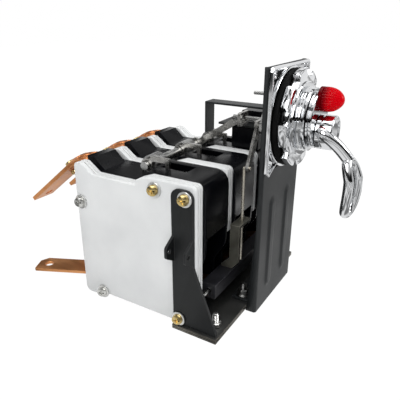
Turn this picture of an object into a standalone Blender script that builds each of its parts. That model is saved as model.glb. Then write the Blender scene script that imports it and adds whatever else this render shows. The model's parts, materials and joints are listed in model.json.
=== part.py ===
"""Open three pole transfer switch with a panel barrel, a loop handle and its linkage.

Metres, +Z up, the handle faces -Y, the poles stand side by side along X.
The origin lies on the underside of the base rail, at the front plane of the pole plates.
"""

import math

import bmesh
import bpy
from mathutils import Matrix, Vector
from mathutils.geometry import tessellate_polygon

MM = 0.001

# Fits
GAP = 0.3 * MM
PIN_PLAY = 0.45 * MM

# Pole stack
POLES = 3
POLE_PITCH = 50.0 * MM
PLATE_T = 11.5 * MM
PLATE_DEPTH = 123.0 * MM
PLATE_HEIGHT = 125.0 * MM
PLATE_CORNER = 4.0 * MM
LAND_LENGTH = 45.0 * MM
STEP_LENGTH = 11.2 * MM
STEP_RISE = 4.6 * MM
LOW_DROP = 8.7 * MM
HUMP_LENGTH = 8.5 * MM
SLOPE_LENGTH = 12.0 * MM
NOTCH_DEPTH = 52.0 * MM
NOTCH_HEIGHT = 66.0 * MM
NOTCH_RISE = 12.0 * MM
FOOT_LENGTH = 14.5 * MM

# Housings
FRONT_STAND = 2.0 * MM
FRONT_ROUND = 11.0 * MM
FRONT_WALL = 7.0 * MM
MOUTH_TOP = 77.0 * MM
MOUTH_DEPTH = 50.0 * MM
CHEEK_T = 2.5 * MM
CHEEK_BACK = 10.0 * MM
CHEEK_HEIGHT = 40.0 * MM
CAP_RISE = 1.5 * MM
CAP_WALL = 1.5 * MM
CAP_FLAT = 8.0 * MM
CAP_SLOPE = 11.0 * MM
SLOT_WIDTH = 15.0 * MM
SLOT_FRONT = 25.0 * MM
SLOT_BACK = 51.0 * MM
SLOT_DEPTH = 17.0 * MM

# Base rail, straps and panel
BASE_T = 4.0 * MM
BASE_HALF = 86.0 * MM
BASE_FRONT = -22.0 * MM
BASE_BACK = 20.0 * MM
STRAP_T = 2.3 * MM
STRAP_FRONT = 0.3 * MM
STRAP_BACK = 20.4 * MM
STRAP_TOP = 122.5 * MM
STRAP_FOOT = -20.6 * MM
EAR_REACH = 13.0 * MM
EAR_LOW = 60.0 * MM
EAR_HIGH = 82.5 * MM
PANEL_X = 9.9 * MM
PANEL_WIDTH = 82.6 * MM
PANEL_TOP = 211.5 * MM
PANEL_FRONT = -31.9 * MM
PANEL_T = 2.5 * MM
LIP_DEPTH = 1.0 * MM
LIP_RISE = 110.0 * MM
FOOT_BACK = -6.0 * MM
RIB_RISE = 1.5 * MM
RIB_WIDTH = 13.0 * MM
RIB_LOW = 17.0 * MM
RIB_HIGH = 104.0 * MM
RIB_SPREAD = 34.5 * MM

# Fasteners
BOLT_R = 3.0 * MM
HEAD_R = 4.3 * MM
HEAD_T = 3.2 * MM
WASHER_R = 6.25 * MM
WASHER_T = 1.5 * MM
NUT_T = 5.0 * MM
STUD_TIP = 3.0 * MM
STUD_INSET = 11.8 * MM
CORNER_R = 2.8 * MM
CORNER_NUT_R = 5.0 * MM
CORNER_NUT_T = 4.0 * MM
CORNER_LENGTH = 16.0 * MM

# Copper
TERMINAL_WIDTH = 24.0 * MM
UPPER_T = 4.0 * MM
UPPER_LEVEL = 119.0 * MM
UPPER_ROOT = 11.0 * MM
UPPER_REACH = 84.0 * MM
UPPER_FALL = 53.0 * MM
LOWER_T = 3.0 * MM
LOWER_LEVEL = 6.6 * MM
LOWER_REACH = 57.0 * MM
LOWER_SKEW = math.radians(25.0)
LOWER_SHIFT = 5.0 * MM
LUG_HOLE_R = 4.0 * MM

# Panel barrel
BARREL_R = 25.6 * MM
FLANGE_T = 3.0 * MM
FLANGE_HEIGHT = 85.0 * MM
GASKET_R = 39.2 * MM
GASKET_T = 4.2 * MM
LOCK_R = 39.0 * MM
LOCK_NOTCH = 4.5 * MM
LOCK_T = 6.6 * MM
BARREL_END = -55.0 * MM
FACE_R = 22.5 * MM
FACE_T = 4.7 * MM

# Handle and button
HANDLE_DROP = 8.75 * MM
SHAFT_R = 5.0 * MM
HUB_R = 13.75 * MM
HUB_LENGTH = 13.5 * MM
SHAFT_SEAT = 10.0 * MM
ARM_R = 4.9 * MM
LOOP_R = 4.0 * MM
LOOP_HALF = 7.4 * MM
LOOP_TOP = 20.5 * MM
LOOP_DROP = 65.0 * MM
LOOP_REACH = 29.3 * MM
LOOP_LEAN = 3.3 * MM
LOOP_TURN = math.radians(15.0)
BUTTON_RISE = 16.8 * MM
BUTTON_R = 9.6 * MM
BUTTON_LENGTH = 19.0 * MM
BUTTON_TRAVEL = 3.0 * MM
PLUNGER_R = 1.5 * MM

# Linkage
CRANK_T = 2.8 * MM
CRANK_BACK = -14.2 * MM
LIFT_ARM = 8.65 * MM
LIFT_PIN_R = 2.0 * MM
LEVER_ARM = 12.0 * MM
LEVER_PIN_R = 2.5 * MM
HANDLE_TURN = math.radians(45.0)
LINK_T = 2.5 * MM
ROD_R = 1.5 * MM
ROD_X = -14.5 * MM
ROD_Y = -7.5 * MM
ROD_EYE_Z = 127.75 * MM
LIFTER_X = -27.0 * MM
LIFTER_T = 2.4 * MM
LIFTER_TOP = 79.0 * MM
CROSSBAR_Z = 29.0 * MM
CROSSBAR_SIDE = 14.0 * MM
CROSSBAR_HALF = 60.0 * MM
CROSS_PIN_R = 1.9 * MM
TOP_SHAFT_R = 4.0 * MM
TOP_SHAFT_Y = 66.0 * MM
TOP_SHAFT_Z = 127.5 * MM
EYE_Y = 12.5 * MM
EYE_T = 3.0 * MM
STRIP_X = 28.0 * MM
STRIP_T = 3.0 * MM
SADDLE_WIDTH = 15.5 * MM
SADDLE_R = 7.5 * MM
FINGER_T = 3.0 * MM

# Interlock pieces behind the panel
SWITCH_LEFT = 33.5 * MM
SWITCH_RIGHT = 66.0 * MM
SWITCH_FRONT = 2.0 * MM
SWITCH_BACK = 29.6 * MM
SWITCH_HEIGHT = 20.0 * MM
LID_T = 2.0 * MM
COVER_LEFT = 49.3 * MM
COVER_RIGHT = 78.0 * MM
COVER_FRONT = -21.5 * MM
COVER_BACK = 27.5 * MM
COVER_TOP = 161.5 * MM
BRIDGE_TOP = 166.5 * MM
BRIDGE_T = 2.0 * MM
BRIDGE_BACK = 67.0 * MM
BRIDGE_LEFT = 46.75 * MM
BRIDGE_WIDTH = 16.25 * MM

# Levels that follow from the sizes above
STACK_HALF = (POLES * POLE_PITCH + PLATE_T) / 2
TOP = BASE_T + PLATE_HEIGHT
LOW_TOP = TOP - LOW_DROP
REAR = PLATE_DEPTH
BARREL_Z = PANEL_TOP - FLANGE_HEIGHT / 2
HANDLE_Z = BARREL_Z - HANDLE_DROP
BUTTON_Z = BARREL_Z + BUTTON_RISE
LID_LOW = TOP + SWITCH_HEIGHT + GAP
BUTTON_BACK = BARREL_END - GAP - BUTTON_TRAVEL - 0.2 * MM
HUB_BACK = BARREL_END - GAP - FACE_T - GAP
TIE_BOLTS = (
    ("rear", REAR - 5.5 * MM, BASE_T + 89.6 * MM, False, "steel_bright"),
    ("middle", 37.0 * MM, TOP - 8.3 * MM, False, "brass"),
    ("upper", 7.2 * MM, TOP - 9.3 * MM, True, "brass"),
    ("lower", 14.5 * MM, BASE_T + WASHER_R + GAP, True, "brass"),
    ("foot", REAR - 22.5 * MM, WASHER_R, False, "steel_bright"),
)
PANEL_STUDS = (PANEL_X - PANEL_WIDTH / 2 + STUD_INSET, PANEL_X + PANEL_WIDTH / 2 - STUD_INSET)
STUD_Y = -14.1 * MM
CORNER_STUD = (-69.0 * MM, -12.5 * MM)

for stale in list(bpy.data.objects):
    bpy.data.objects.remove(stale, do_unlink=True)

scene = bpy.context.scene
parts = bpy.data.collections.new("transfer_switch")
cutters = bpy.data.collections.new("cutters")
scene.collection.children.link(parts)
scene.collection.children.link(cutters)

LOOKS = {
    "plate_grey": ((0.62, 0.64, 0.64), 0.0, 0.55),
    "housing_black": ((0.015, 0.015, 0.016), 0.0, 0.25),
    "steel_black": ((0.035, 0.035, 0.037), 0.3, 0.5),
    "panel_black": ((0.055, 0.055, 0.06), 0.2, 0.55),
    "steel_bright": ((0.62, 0.62, 0.6), 1.0, 0.3),
    "steel_dark": ((0.2, 0.2, 0.18), 1.0, 0.45),
    "brass": ((0.78, 0.6, 0.28), 1.0, 0.3),
    "copper": ((0.62, 0.3, 0.16), 1.0, 0.35),
    "chrome": ((0.8, 0.8, 0.82), 1.0, 0.08),
    "rubber_black": ((0.012, 0.012, 0.012), 0.0, 0.7),
    "red_lens": ((0.5, 0.0, 0.01), 0.0, 0.15),
    "bar_black": ((0.02, 0.02, 0.022), 0.0, 0.5),
    "rod_ivory": ((0.75, 0.72, 0.62), 0.0, 0.4),
}


def look(slot):
    material = bpy.data.materials.get(slot)
    if material is None:
        colour, metallic, roughness = LOOKS[slot]
        material = bpy.data.materials.new(slot)
        material.use_nodes = True
        shader = material.node_tree.nodes["Principled BSDF"]
        shader.inputs["Base Color"].default_value = (*colour, 1.0)
        shader.inputs["Metallic"].default_value = metallic
        shader.inputs["Roughness"].default_value = roughness
        material.diffuse_color = (*colour, 1.0)
    return material


def part(name, shape, slot, pivot=(0.0, 0.0, 0.0)):
    """Turn a bmesh into a named part whose origin sits at the pivot."""
    bmesh.ops.recalc_face_normals(shape, faces=shape.faces)
    bmesh.ops.translate(shape, verts=shape.verts, vec=-Vector(pivot))
    mesh = bpy.data.meshes.new(name)
    shape.to_mesh(mesh)
    shape.free()
    item = bpy.data.objects.new(name, mesh)
    item.location = pivot
    mesh.materials.append(look(slot))
    parts.objects.link(item)
    return item


def combine(item, shape, operation="DIFFERENCE"):
    """Cut a shape out of a part, or weld it on, with a live modifier."""
    bmesh.ops.recalc_face_normals(shape, faces=shape.faces)
    name = item.name + "_tool"
    mesh = bpy.data.meshes.new(name)
    shape.to_mesh(mesh)
    shape.free()
    tool = bpy.data.objects.new(name, mesh)
    tool.hide_render = True
    tool.display_type = "WIRE"
    cutters.objects.link(tool)
    modifier = item.modifiers.new("cut" if operation == "DIFFERENCE" else "weld", "BOOLEAN")
    modifier.operation = operation
    modifier.solver = "EXACT"
    modifier.object = tool


def seat(axis, across, up, along):
    """Place outline coordinates: X takes (y, z), Y takes (x, z), Z takes (x, y)."""
    if axis == "X":
        return (along, across, up)
    if axis == "Y":
        return (across, along, up)
    return (across, up, along)


def prism(axis, low, high, outline, *holes):
    """Extrude one outline with holes between two stations along an axis."""
    shape = bmesh.new()
    loops = [list(outline)] + [list(hole) for hole in holes]
    flat = [[Vector((a, b, 0.0)) for a, b in loop] for loop in loops]
    triangles = tessellate_polygon(flat)
    near = [shape.verts.new(seat(axis, a, b, low)) for loop in loops for a, b in loop]
    far = [shape.verts.new(seat(axis, a, b, high)) for loop in loops for a, b in loop]
    for triangle in triangles:
        shape.faces.new([near[i] for i in triangle])
        shape.faces.new([far[i] for i in triangle])
    start = 0
    for loop in loops:
        for i in range(len(loop)):
            this = start + i
            following = start + (i + 1) % len(loop)
            shape.faces.new((near[this], near[following], far[following], far[this]))
        start += len(loop)
    return shape


def box(x, y, z):
    return prism("Z", z[0], z[1], ((x[0], y[0]), (x[1], y[0]), (x[1], y[1]), (x[0], y[1])))


def circle(across, up, radius, sides=14):
    steps = [2 * math.pi * i / sides for i in range(sides)]
    return [(across + radius * math.cos(t), up + radius * math.sin(t)) for t in steps]


def rounded(points, steps=4):
    """Round the corners of an outline: each point is (across, up) or (across, up, radius)."""
    result = []
    count = len(points)
    for i in range(count):
        here = Vector(points[i][:2])
        radius = points[i][2] if len(points[i]) > 2 else 0.0
        if radius == 0.0:
            result.append(tuple(here))
            continue
        before = (Vector(points[i - 1][:2]) - here).normalized()
        after = (Vector(points[(i + 1) % count][:2]) - here).normalized()
        half = before.angle(after) / 2
        reach = radius / math.tan(half)
        centre = here + (before + after).normalized() * (radius / math.sin(half))
        first = here + before * reach - centre
        turn = math.pi - 2 * half
        sense = 1.0 if before.x * after.y - before.y * after.x < 0 else -1.0
        for k in range(steps + 1):
            angle = sense * turn * k / steps
            spun = Vector((first.x * math.cos(angle) - first.y * math.sin(angle),
                           first.x * math.sin(angle) + first.y * math.cos(angle)))
            result.append(tuple(centre + spun))
    return result


def turned(centre, direction, profile, sides=14):
    """Turn a profile of (radius, height) about a line through a point."""
    shape = bmesh.new()
    frame = Vector(direction).normalized().to_track_quat("Z", "Y").to_matrix().to_4x4()
    frame = Matrix.Translation(Vector(centre)) @ frame
    rings = []
    for radius, height in profile:
        if radius == 0.0:
            rings.append([shape.verts.new(frame @ Vector((0.0, 0.0, height)))])
            continue
        ring = [Vector((a, b, height)) for a, b in circle(0.0, 0.0, radius, sides)]
        rings.append([shape.verts.new(frame @ point) for point in ring])
    closed = profile[0][0] > 0.0
    for i in range(len(rings) - (0 if closed else 1)):
        low, high = rings[i], rings[(i + 1) % len(rings)]
        for k in range(sides):
            m = (k + 1) % sides
            corners = [low[k % len(low)], low[m % len(low)], high[m % len(high)], high[k % len(high)]]
            shape.faces.new(list(dict.fromkeys(corners)))
    return shape


def rod(centre, direction, radius, length, sides=16):
    return turned(centre, direction, ((0.0, 0.0), (radius, 0.0), (radius, length), (0.0, length)), sides)


def tube(points, radius, resolution=2, closed=False):
    """A round bar bent along a line of points."""
    curve = bpy.data.curves.new("bar", "CURVE")
    curve.dimensions = "3D"
    curve.bevel_depth = radius
    curve.bevel_resolution = resolution
    curve.use_fill_caps = not closed
    spline = curve.splines.new("POLY")
    spline.use_cyclic_u = closed
    spline.points.add(len(points) - 1)
    for point, place in zip(spline.points, points):
        point.co = (*place, 1.0)
    holder = bpy.data.objects.new("bar", curve)
    scene.collection.objects.link(holder)
    mesh = bpy.data.meshes.new_from_object(holder.evaluated_get(bpy.context.evaluated_depsgraph_get()))
    shape = bmesh.new()
    shape.from_mesh(mesh)
    bmesh.ops.remove_doubles(shape, verts=shape.verts, dist=0.01 * MM)
    bpy.data.objects.remove(holder, do_unlink=True)
    bpy.data.meshes.remove(mesh)
    bpy.data.curves.remove(curve)
    return shape


def bend(points, radius, steps=4):
    """Round the inner corners of a 3-D line of points."""
    line = [Vector(point) for point in points]
    result = [line[0]]
    for i in range(1, len(line) - 1):
        before = (line[i - 1] - line[i]).normalized()
        after = (line[i + 1] - line[i]).normalized()
        half = before.angle(after) / 2
        reach = min(radius / math.tan(half), 0.49 * (line[i + 1] - line[i]).length,
                    0.49 * (line[i - 1] - line[i]).length)
        first = line[i] + before * reach
        last = line[i] + after * reach
        for k in range(steps + 1):
            s = k / steps
            result.append(first * (1 - s) ** 2 + line[i] * 2 * s * (1 - s) + last * s ** 2)
    result.append(line[-1])
    return result


def strip(centreline, thickness):
    """Outline of a bent strip of even thickness along a flat line."""
    line = [Vector(point) for point in centreline]
    left, right = [], []
    for i, here in enumerate(line):
        before = (here - line[i - 1]).normalized() if i > 0 else None
        after = (line[i + 1] - here).normalized() if i + 1 < len(line) else None
        run = before or after
        other = after or before
        mean = (run + other).normalized()
        side = Vector((-mean.y, mean.x)) * (thickness / 2 / max(0.5, mean.dot(run)))
        left.append(tuple(here + side))
        right.append(tuple(here - side))
    return left + right[::-1]


def plate_low(index):
    return -STACK_HALF + index * POLE_PITCH


def pole_middle(index):
    return plate_low(index) + (POLE_PITCH + PLATE_T) / 2


def lower_root(index):
    return pole_middle(index) + (index - (POLES - 1) / 2) * LOWER_SHIFT


def bolt_notch(low):
    """Open notch round the foot bolt, taken from the lower edge of an outline."""
    across, up = TIE_BOLTS[4][1:3]
    reach = BOLT_R + GAP
    return [(across - reach, low), (across - reach, up + reach), (across + reach, up + reach),
        (across + reach, low)]


# Base rail: the flat strip under the front of the stack
stud_holes = [circle(*CORNER_STUD, CORNER_R + GAP)]
stud_holes += [circle(x, STUD_Y, BOLT_R + GAP) for x in PANEL_STUDS]
part("base_rail", prism("Z", 0.0, BASE_T, (
    (-BASE_HALF, BASE_FRONT), (BASE_HALF, BASE_FRONT), (BASE_HALF, BASE_BACK), (-BASE_HALF, BASE_BACK)),
    *stud_holes), "steel_black")

# Pole plates: four grey moulded walls, the inner two notched for the crossbar
plate_edge = bolt_notch(BASE_T + GAP) + [
    (REAR - FOOT_LENGTH - 1.5 * MM, BASE_T + GAP), (REAR - FOOT_LENGTH, 0.0),
    (REAR, 0.0, 5.0 * MM), (REAR, TOP, PLATE_CORNER), (REAR - HUMP_LENGTH, TOP),
    (REAR - HUMP_LENGTH - SLOPE_LENGTH, LOW_TOP), (LAND_LENGTH + STEP_LENGTH, LOW_TOP),
    (LAND_LENGTH + STEP_LENGTH, LOW_TOP + STEP_RISE), (LAND_LENGTH, TOP), (0.0, TOP, PLATE_CORNER)]
whole_front = [(0.0, BASE_T + GAP, 2.0 * MM)]
notched_front = [(0.0, BASE_T + NOTCH_HEIGHT, 1.0 * MM),
                 (NOTCH_DEPTH, BASE_T + NOTCH_HEIGHT + NOTCH_RISE, 6.0 * MM), (NOTCH_DEPTH, BASE_T + GAP)]
for i in range(POLES + 1):
    whole = i in (0, POLES)
    plate_outline = rounded(plate_edge + (whole_front if whole else notched_front))
    holes = [circle(y, z, BOLT_R + GAP) for _, y, z, _, _ in TIE_BOLTS[:4 if whole else 3]]
    part(f"pole_plate_{i + 1}", prism("X", plate_low(i), plate_low(i) + PLATE_T, plate_outline, *holes),
         "plate_grey")

# Pole housings: black moulded arc chambers with an open mouth in front
mouth_top = BASE_T + MOUTH_TOP
mouth_outline = rounded([
    (-5.0 * FRONT_STAND, mouth_top), (FRONT_WALL - FRONT_STAND, mouth_top, 2.0 * MM),
    (FRONT_WALL + 5.0 * MM, mouth_top - 7.0 * MM), (MOUTH_DEPTH - 6.0 * MM, mouth_top - 11.0 * MM,
    6.0 * MM),
    (MOUTH_DEPTH, mouth_top - 19.0 * MM), (MOUTH_DEPTH, BASE_T + 14.0 * MM),
    (MOUTH_DEPTH - 8.0 * MM, BASE_T + 7.0 * MM), (25.0 * MM, BASE_T + 5.0 * MM),
    (21.0 * MM, BASE_T - MM), (-5.0 * FRONT_STAND, BASE_T - MM)])
cheek_low = BASE_T + CHEEK_HEIGHT
housing_outline = rounded([
    (-FRONT_STAND, mouth_top, 1.0 * MM), (-FRONT_STAND / 2, (mouth_top + cheek_low) / 2, 12.0 * MM),
    (CHEEK_BACK, cheek_low, 6.0 * MM), (CHEEK_BACK, BASE_T + GAP)] + bolt_notch(BASE_T + GAP) + [
    (REAR - GAP, BASE_T + GAP, 3.0 * MM), (REAR - GAP, LOW_TOP, 2.0 * MM),
    (LAND_LENGTH + STEP_LENGTH + 1.0 * MM, LOW_TOP),
    (LAND_LENGTH + STEP_LENGTH - 0.5 * MM, TOP - GAP, 2.0 * MM), (-FRONT_STAND, TOP - GAP, FRONT_ROUND)])
cap_rear = REAR - 2 * GAP
cap_front = cap_rear - CAP_FLAT - CAP_SLOPE
cap_half = TERMINAL_WIDTH / 2 + GAP + CAP_WALL
cap_outline = ((cap_rear, LOW_TOP - CAP_WALL), (cap_rear, TOP + CAP_RISE),
               (cap_rear - CAP_FLAT, TOP + CAP_RISE), (cap_front, LOW_TOP), (cap_front, LOW_TOP - CAP_WALL))
for i in range(POLES):
    low = plate_low(i) + PLATE_T + GAP
    high = plate_low(i + 1) - GAP
    middle = pole_middle(i)
    holes = [circle(y, z, BOLT_R + GAP) for _, y, z, _, _ in TIE_BOLTS[:4]]
    housing = part(f"pole_housing_{i + 1}", prism("X", low, high, housing_outline, *holes), "housing_black")
    combine(housing, prism("X", middle - cap_half, middle + cap_half, cap_outline), "UNION")
    combine(housing, prism("X", low + CHEEK_T, high - CHEEK_T, mouth_outline))
    combine(housing, box((middle - 3.0 * MM, middle - 3.0 * MM + SLOT_WIDTH), (SLOT_FRONT, SLOT_BACK),
                         (TOP - SLOT_DEPTH, TOP + 10.0 * MM)))
    level = BASE_T + UPPER_LEVEL
    half = TERMINAL_WIDTH / 2
    combine(housing, box((middle - half - GAP, middle + half + GAP), (REAR - UPPER_ROOT - GAP, REAR + MM),
                         (level - UPPER_T / 2 - GAP, level + UPPER_T / 2 + GAP)))
    level = BASE_T + LOWER_LEVEL
    root = lower_root(i)
    combine(housing, box((root - half - GAP, root + half + GAP), (REAR - UPPER_ROOT - GAP, REAR + MM),
                         (level - LOWER_T / 2 - GAP, level + LOWER_T / 2 + GAP)))

# Copper terminals: the upper bars fall away to the rear, the lower bars lie flat and fan out
upper_level = BASE_T + UPPER_LEVEL
upper_start = Vector((REAR + 25.0 * MM, upper_level - 6.5 * MM))
upper_end = Vector((REAR + UPPER_REACH, upper_level - UPPER_FALL))
upper_run = (upper_end - upper_start).normalized()
upper_normal = (0.0, -upper_run.y, upper_run.x)
upper_line = [(REAR - UPPER_ROOT, upper_level), (REAR + 6.0 * MM, upper_level),
              (REAR + 17.0 * MM, upper_level - 2.0 * MM), tuple(upper_start), tuple(upper_end)]
for i in range(POLES):
    middle = pole_middle(i)
    half = TERMINAL_WIDTH / 2
    bar = part(f"upper_terminal_{i + 1}", prism("X", middle - half, middle + half, strip(upper_line,
        UPPER_T)),
               "copper")
    bolt_at = upper_start + upper_run * 11.0 * MM
    lug_at = upper_end - upper_run * 12.0 * MM
    drill = Vector(upper_normal) * UPPER_T
    combine(bar, rod(Vector((middle, *bolt_at)) - drill, upper_normal, BOLT_R + GAP, 2 * UPPER_T))
    combine(bar, rod(Vector((middle, *lug_at)) - drill, upper_normal, LUG_HOLE_R, 2 * UPPER_T))
    reach = UPPER_T / 2 + GAP
    part(f"terminal_bolt_{i + 1}", turned((middle, *bolt_at), upper_normal, (
        (0.0, -reach - 4.0 * MM), (4.0 * MM, -reach - 4.0 * MM), (5.0 * MM, -reach - 3.2 * MM), (5.0 * MM,
        -reach),
        (BOLT_R, -reach), (BOLT_R, reach), (5.4 * MM, reach), (5.4 * MM, reach + 3.6 * MM),
        (4.6 * MM, reach + 4.2 * MM), (0.0, reach + 4.2 * MM))), "brass")
    turn = (i - (POLES - 1) / 2) / ((POLES - 1) / 2) * LOWER_SKEW
    hand = 1.0 if turn > 0 else -1.0
    skew = Vector((math.sin(turn), math.cos(turn)))
    square = Vector((-hand * skew.y, hand * skew.x))
    near = Vector((lower_root(i) + hand * half, REAR + GAP))
    far = near - Vector((hand * TERMINAL_WIDTH, 0.0))
    tip = near + skew * (LOWER_REACH / skew.y)
    width = TERMINAL_WIDTH * skew.y
    end = far + skew * ((tip + square * width - far).dot(skew))
    lug = tip + square * (width * 0.5) - skew * 11.0 * MM
    level = BASE_T + LOWER_LEVEL
    part(f"lower_terminal_{i + 1}", prism("Z", level - LOWER_T / 2, level + LOWER_T / 2, rounded([
        (near.x, REAR - UPPER_ROOT), (far.x, REAR - UPPER_ROOT), tuple(far), tuple(end - skew * 6.0 * MM),
        tuple(end - square * 6.0 * MM), (*tip, 2.0 * MM), tuple(near)]), circle(lug.x, lug.y, LUG_HOLE_R)),
        "copper")

# Straps: black steel uprights on both outer plates, the near one with two pierced ears bent outward
strap_low = BASE_T + GAP
strap_outline = rounded([
    (STRAP_FOOT, strap_low), (STRAP_BACK, strap_low), (STRAP_BACK, BASE_T + STRAP_TOP, 7.0 * MM),
    (STRAP_FRONT, BASE_T + STRAP_TOP, 7.0 * MM), (STRAP_FRONT, BASE_T + EAR_LOW - 2.0 * MM),
    (STRAP_FOOT, BASE_T + 4.0 * MM)])
ear_mid = BASE_T + (EAR_LOW + EAR_HIGH) / 2
for name, side in (("near", -1.0), ("far", 1.0)):
    inner = side * (STACK_HALF + GAP)
    outer = inner + side * STRAP_T
    tip = inner + side * EAR_REACH
    holes = [circle(y, z, BOLT_R + GAP) for _, y, z, held, _ in TIE_BOLTS if held]
    strap = part(f"strap_{name}", prism("X", min(inner, outer), max(inner, outer), strap_outline, *holes),
                 "steel_black")
    if side > 0:
        continue
    ear = rounded([(inner, BASE_T + EAR_LOW), (inner, BASE_T + EAR_HIGH), (outer, BASE_T + EAR_HIGH),
                   (tip, ear_mid + 4.5 * MM, 3.0 * MM), (tip, ear_mid - 4.5 * MM, 3.0 * MM), (outer,
                   BASE_T + EAR_LOW)])
    hole = circle(tip - side * 4.2 * MM, ear_mid, 2.0 * MM, 12)
    for edge in (STRAP_BACK - STRAP_T, STRAP_FRONT):
        combine(strap, prism("Y", edge, edge + STRAP_T, ear, hole), "UNION")

# Tie bolts: five through bolts with washers that clamp the whole stack
for name, y, z, held, slot in TIE_BOLTS:
    seat_x = STACK_HALF + GAP + (STRAP_T + GAP if held else 0.0)
    head = seat_x + WASHER_T
    part(f"tie_bolt_{name}", turned((0.0, y, z), (1.0, 0.0, 0.0), (
        (0.0, -head - HEAD_T), (HEAD_R - 0.7 * MM, -head - HEAD_T), (HEAD_R, -head - HEAD_T + 0.7 * MM),
        (HEAD_R, -head), (WASHER_R, -head), (WASHER_R, -seat_x), (BOLT_R, -seat_x), (BOLT_R, seat_x),
        (WASHER_R, seat_x), (WASHER_R, head), (HEAD_R + 0.7 * MM, head), (HEAD_R + 0.7 * MM, head + NUT_T),
        (BOLT_R, head + NUT_T), (BOLT_R, head + NUT_T + STUD_TIP), (0.0, head + NUT_T + STUD_TIP))), slot)

# Small fasteners on the base rail
stud = part("corner_stud", rod((*CORNER_STUD, 0.6 * MM), (0.0, 0.0, 1.0), CORNER_R, CORNER_LENGTH, 16),
            "steel_bright")
combine(stud, prism("Z", BASE_T + GAP, BASE_T + GAP + CORNER_NUT_T, circle(*CORNER_STUD, CORNER_NUT_R, 6)),
        "UNION")
foot_top = BASE_T + GAP + PANEL_T
for i, x in enumerate(PANEL_STUDS):
    low = foot_top + GAP
    part(f"panel_stud_{i + 1}", turned((x, STUD_Y, 0.0), (0.0, 0.0, 1.0), (
        (0.0, 0.6 * MM), (BOLT_R, 0.6 * MM), (BOLT_R, low), (WASHER_R, low), (WASHER_R, low + WASHER_T),
        (HEAD_R + 0.9 * MM, low + WASHER_T), (HEAD_R + 0.9 * MM, low + WASHER_T + NUT_T),
        (BOLT_R, low + WASHER_T + NUT_T), (BOLT_R, low + 12.0 * MM), (0.0, low + 12.0 * MM))),
        "steel_bright")

# Front panel: black sheet with side lips, a foot on the rail and two raised ribs
left = PANEL_X - PANEL_WIDTH / 2
right = PANEL_X + PANEL_WIDTH / 2
panel_back = PANEL_FRONT + PANEL_T
lip_back = panel_back + LIP_DEPTH
panel = part("front_panel", prism("Z", 0.0, PANEL_TOP, (
    (left, PANEL_FRONT), (right, PANEL_FRONT), (right, lip_back), (right - PANEL_T, lip_back),
    (right - PANEL_T, panel_back), (left + PANEL_T, panel_back), (left + PANEL_T, lip_back), (left,
    lip_back))),
    "panel_black")
for edge in (left, right - PANEL_T):
    combine(panel, prism("X", edge + GAP, edge + PANEL_T - GAP, (
        (panel_back - MM, 2 * GAP), (BASE_FRONT - 2 * GAP, 2 * GAP), (panel_back - MM, LIP_RISE))), "UNION")
combine(panel, prism("Z", BASE_T + GAP, foot_top, (
    (left + 5.0 * MM, panel_back - MM), (right - 5.0 * MM, panel_back - MM), (right - 5.0 * MM, FOOT_BACK),
    (left + 5.0 * MM, FOOT_BACK))), "UNION")
for x in PANEL_STUDS:
    combine(panel, rod((x, STUD_Y, BASE_T), (0.0, 0.0, 1.0), BOLT_R + GAP, PANEL_T + MM, 14))
for x in (PANEL_X - RIB_SPREAD / 2, PANEL_X + RIB_SPREAD / 2):
    a, b = x - RIB_WIDTH / 2, x + RIB_WIDTH / 2
    combine(panel, prism("Y", PANEL_FRONT - RIB_RISE, PANEL_FRONT + MM, rounded([
        (a, RIB_LOW, 5.0 * MM), (b, RIB_LOW, 5.0 * MM), (b, RIB_HIGH, 5.0 * MM), (a, RIB_HIGH,
        5.0 * MM)])), "UNION")
combine(panel, rod((PANEL_X, PANEL_FRONT - MM, HANDLE_Z), (0.0, 1.0, 0.0), SHAFT_R + 3.0 * MM,
    PANEL_T + 2 * MM, 24))
combine(panel, rod((PANEL_X, PANEL_FRONT - MM, BUTTON_Z), (0.0, 1.0, 0.0), PLUNGER_R + MM,
    PANEL_T + 2 * MM, 16))

# Panel barrel: square chrome flange and round barrel, bored for the shaft and the push rod
flange_back = PANEL_FRONT - GAP
flange_front = flange_back - FLANGE_T
flange_top = PANEL_TOP
flange_low = flange_top - FLANGE_HEIGHT
barrel = part("mount_barrel", prism("Y", flange_front, flange_back, rounded([
    (left, flange_low + 4.0 * MM), (left + 5.0 * MM, flange_low, 2.0 * MM), (PANEL_X - 22.0 * MM,
    flange_low + 7.0 * MM),
    (PANEL_X + 22.0 * MM, flange_low + 7.0 * MM), (right - 5.0 * MM, flange_low, 2.0 * MM),
    (right, flange_low + 4.0 * MM), (right, flange_top, 4.0 * MM), (left, flange_top, 4.0 * MM)])),
    "chrome")
combine(barrel, rod((PANEL_X, BARREL_END, BARREL_Z), (0.0, 1.0, 0.0), BARREL_R,
    flange_front - BARREL_END + MM, 48),
        "UNION")
through = flange_back - BARREL_END + 2 * MM
combine(barrel, rod((PANEL_X, BARREL_END - MM, HANDLE_Z), (0.0, 1.0, 0.0), SHAFT_R + 0.4 * MM, through, 24))
combine(barrel, rod((PANEL_X, BARREL_END - MM, BUTTON_Z), (0.0, 1.0, 0.0), PLUNGER_R + 0.4 * MM, through,
    16))

# Rubber ring and lobed lock nut round the barrel
gasket_back = flange_front - GAP
gasket_front = gasket_back - GASKET_T
bore = BARREL_R + GAP
part("panel_gasket", prism("Y", gasket_front, gasket_back, circle(PANEL_X, BARREL_Z, GASKET_R, 48),
                           circle(PANEL_X, BARREL_Z, bore, 48)), "rubber_black")
lock_outline = []
for k in range(48):
    angle = 2 * math.pi * k / 48
    radius = LOCK_R if k % 6 in (0, 1, 2, 3) else LOCK_R - LOCK_NOTCH
    lock_outline.append((PANEL_X + radius * math.cos(angle), BARREL_Z + radius * math.sin(angle)))
lock_back = gasket_front - GAP
part("lock_nut", prism("Y", lock_back - LOCK_T, lock_back, lock_outline, circle(PANEL_X, BARREL_Z, bore,
    48)), "chrome")

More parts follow.
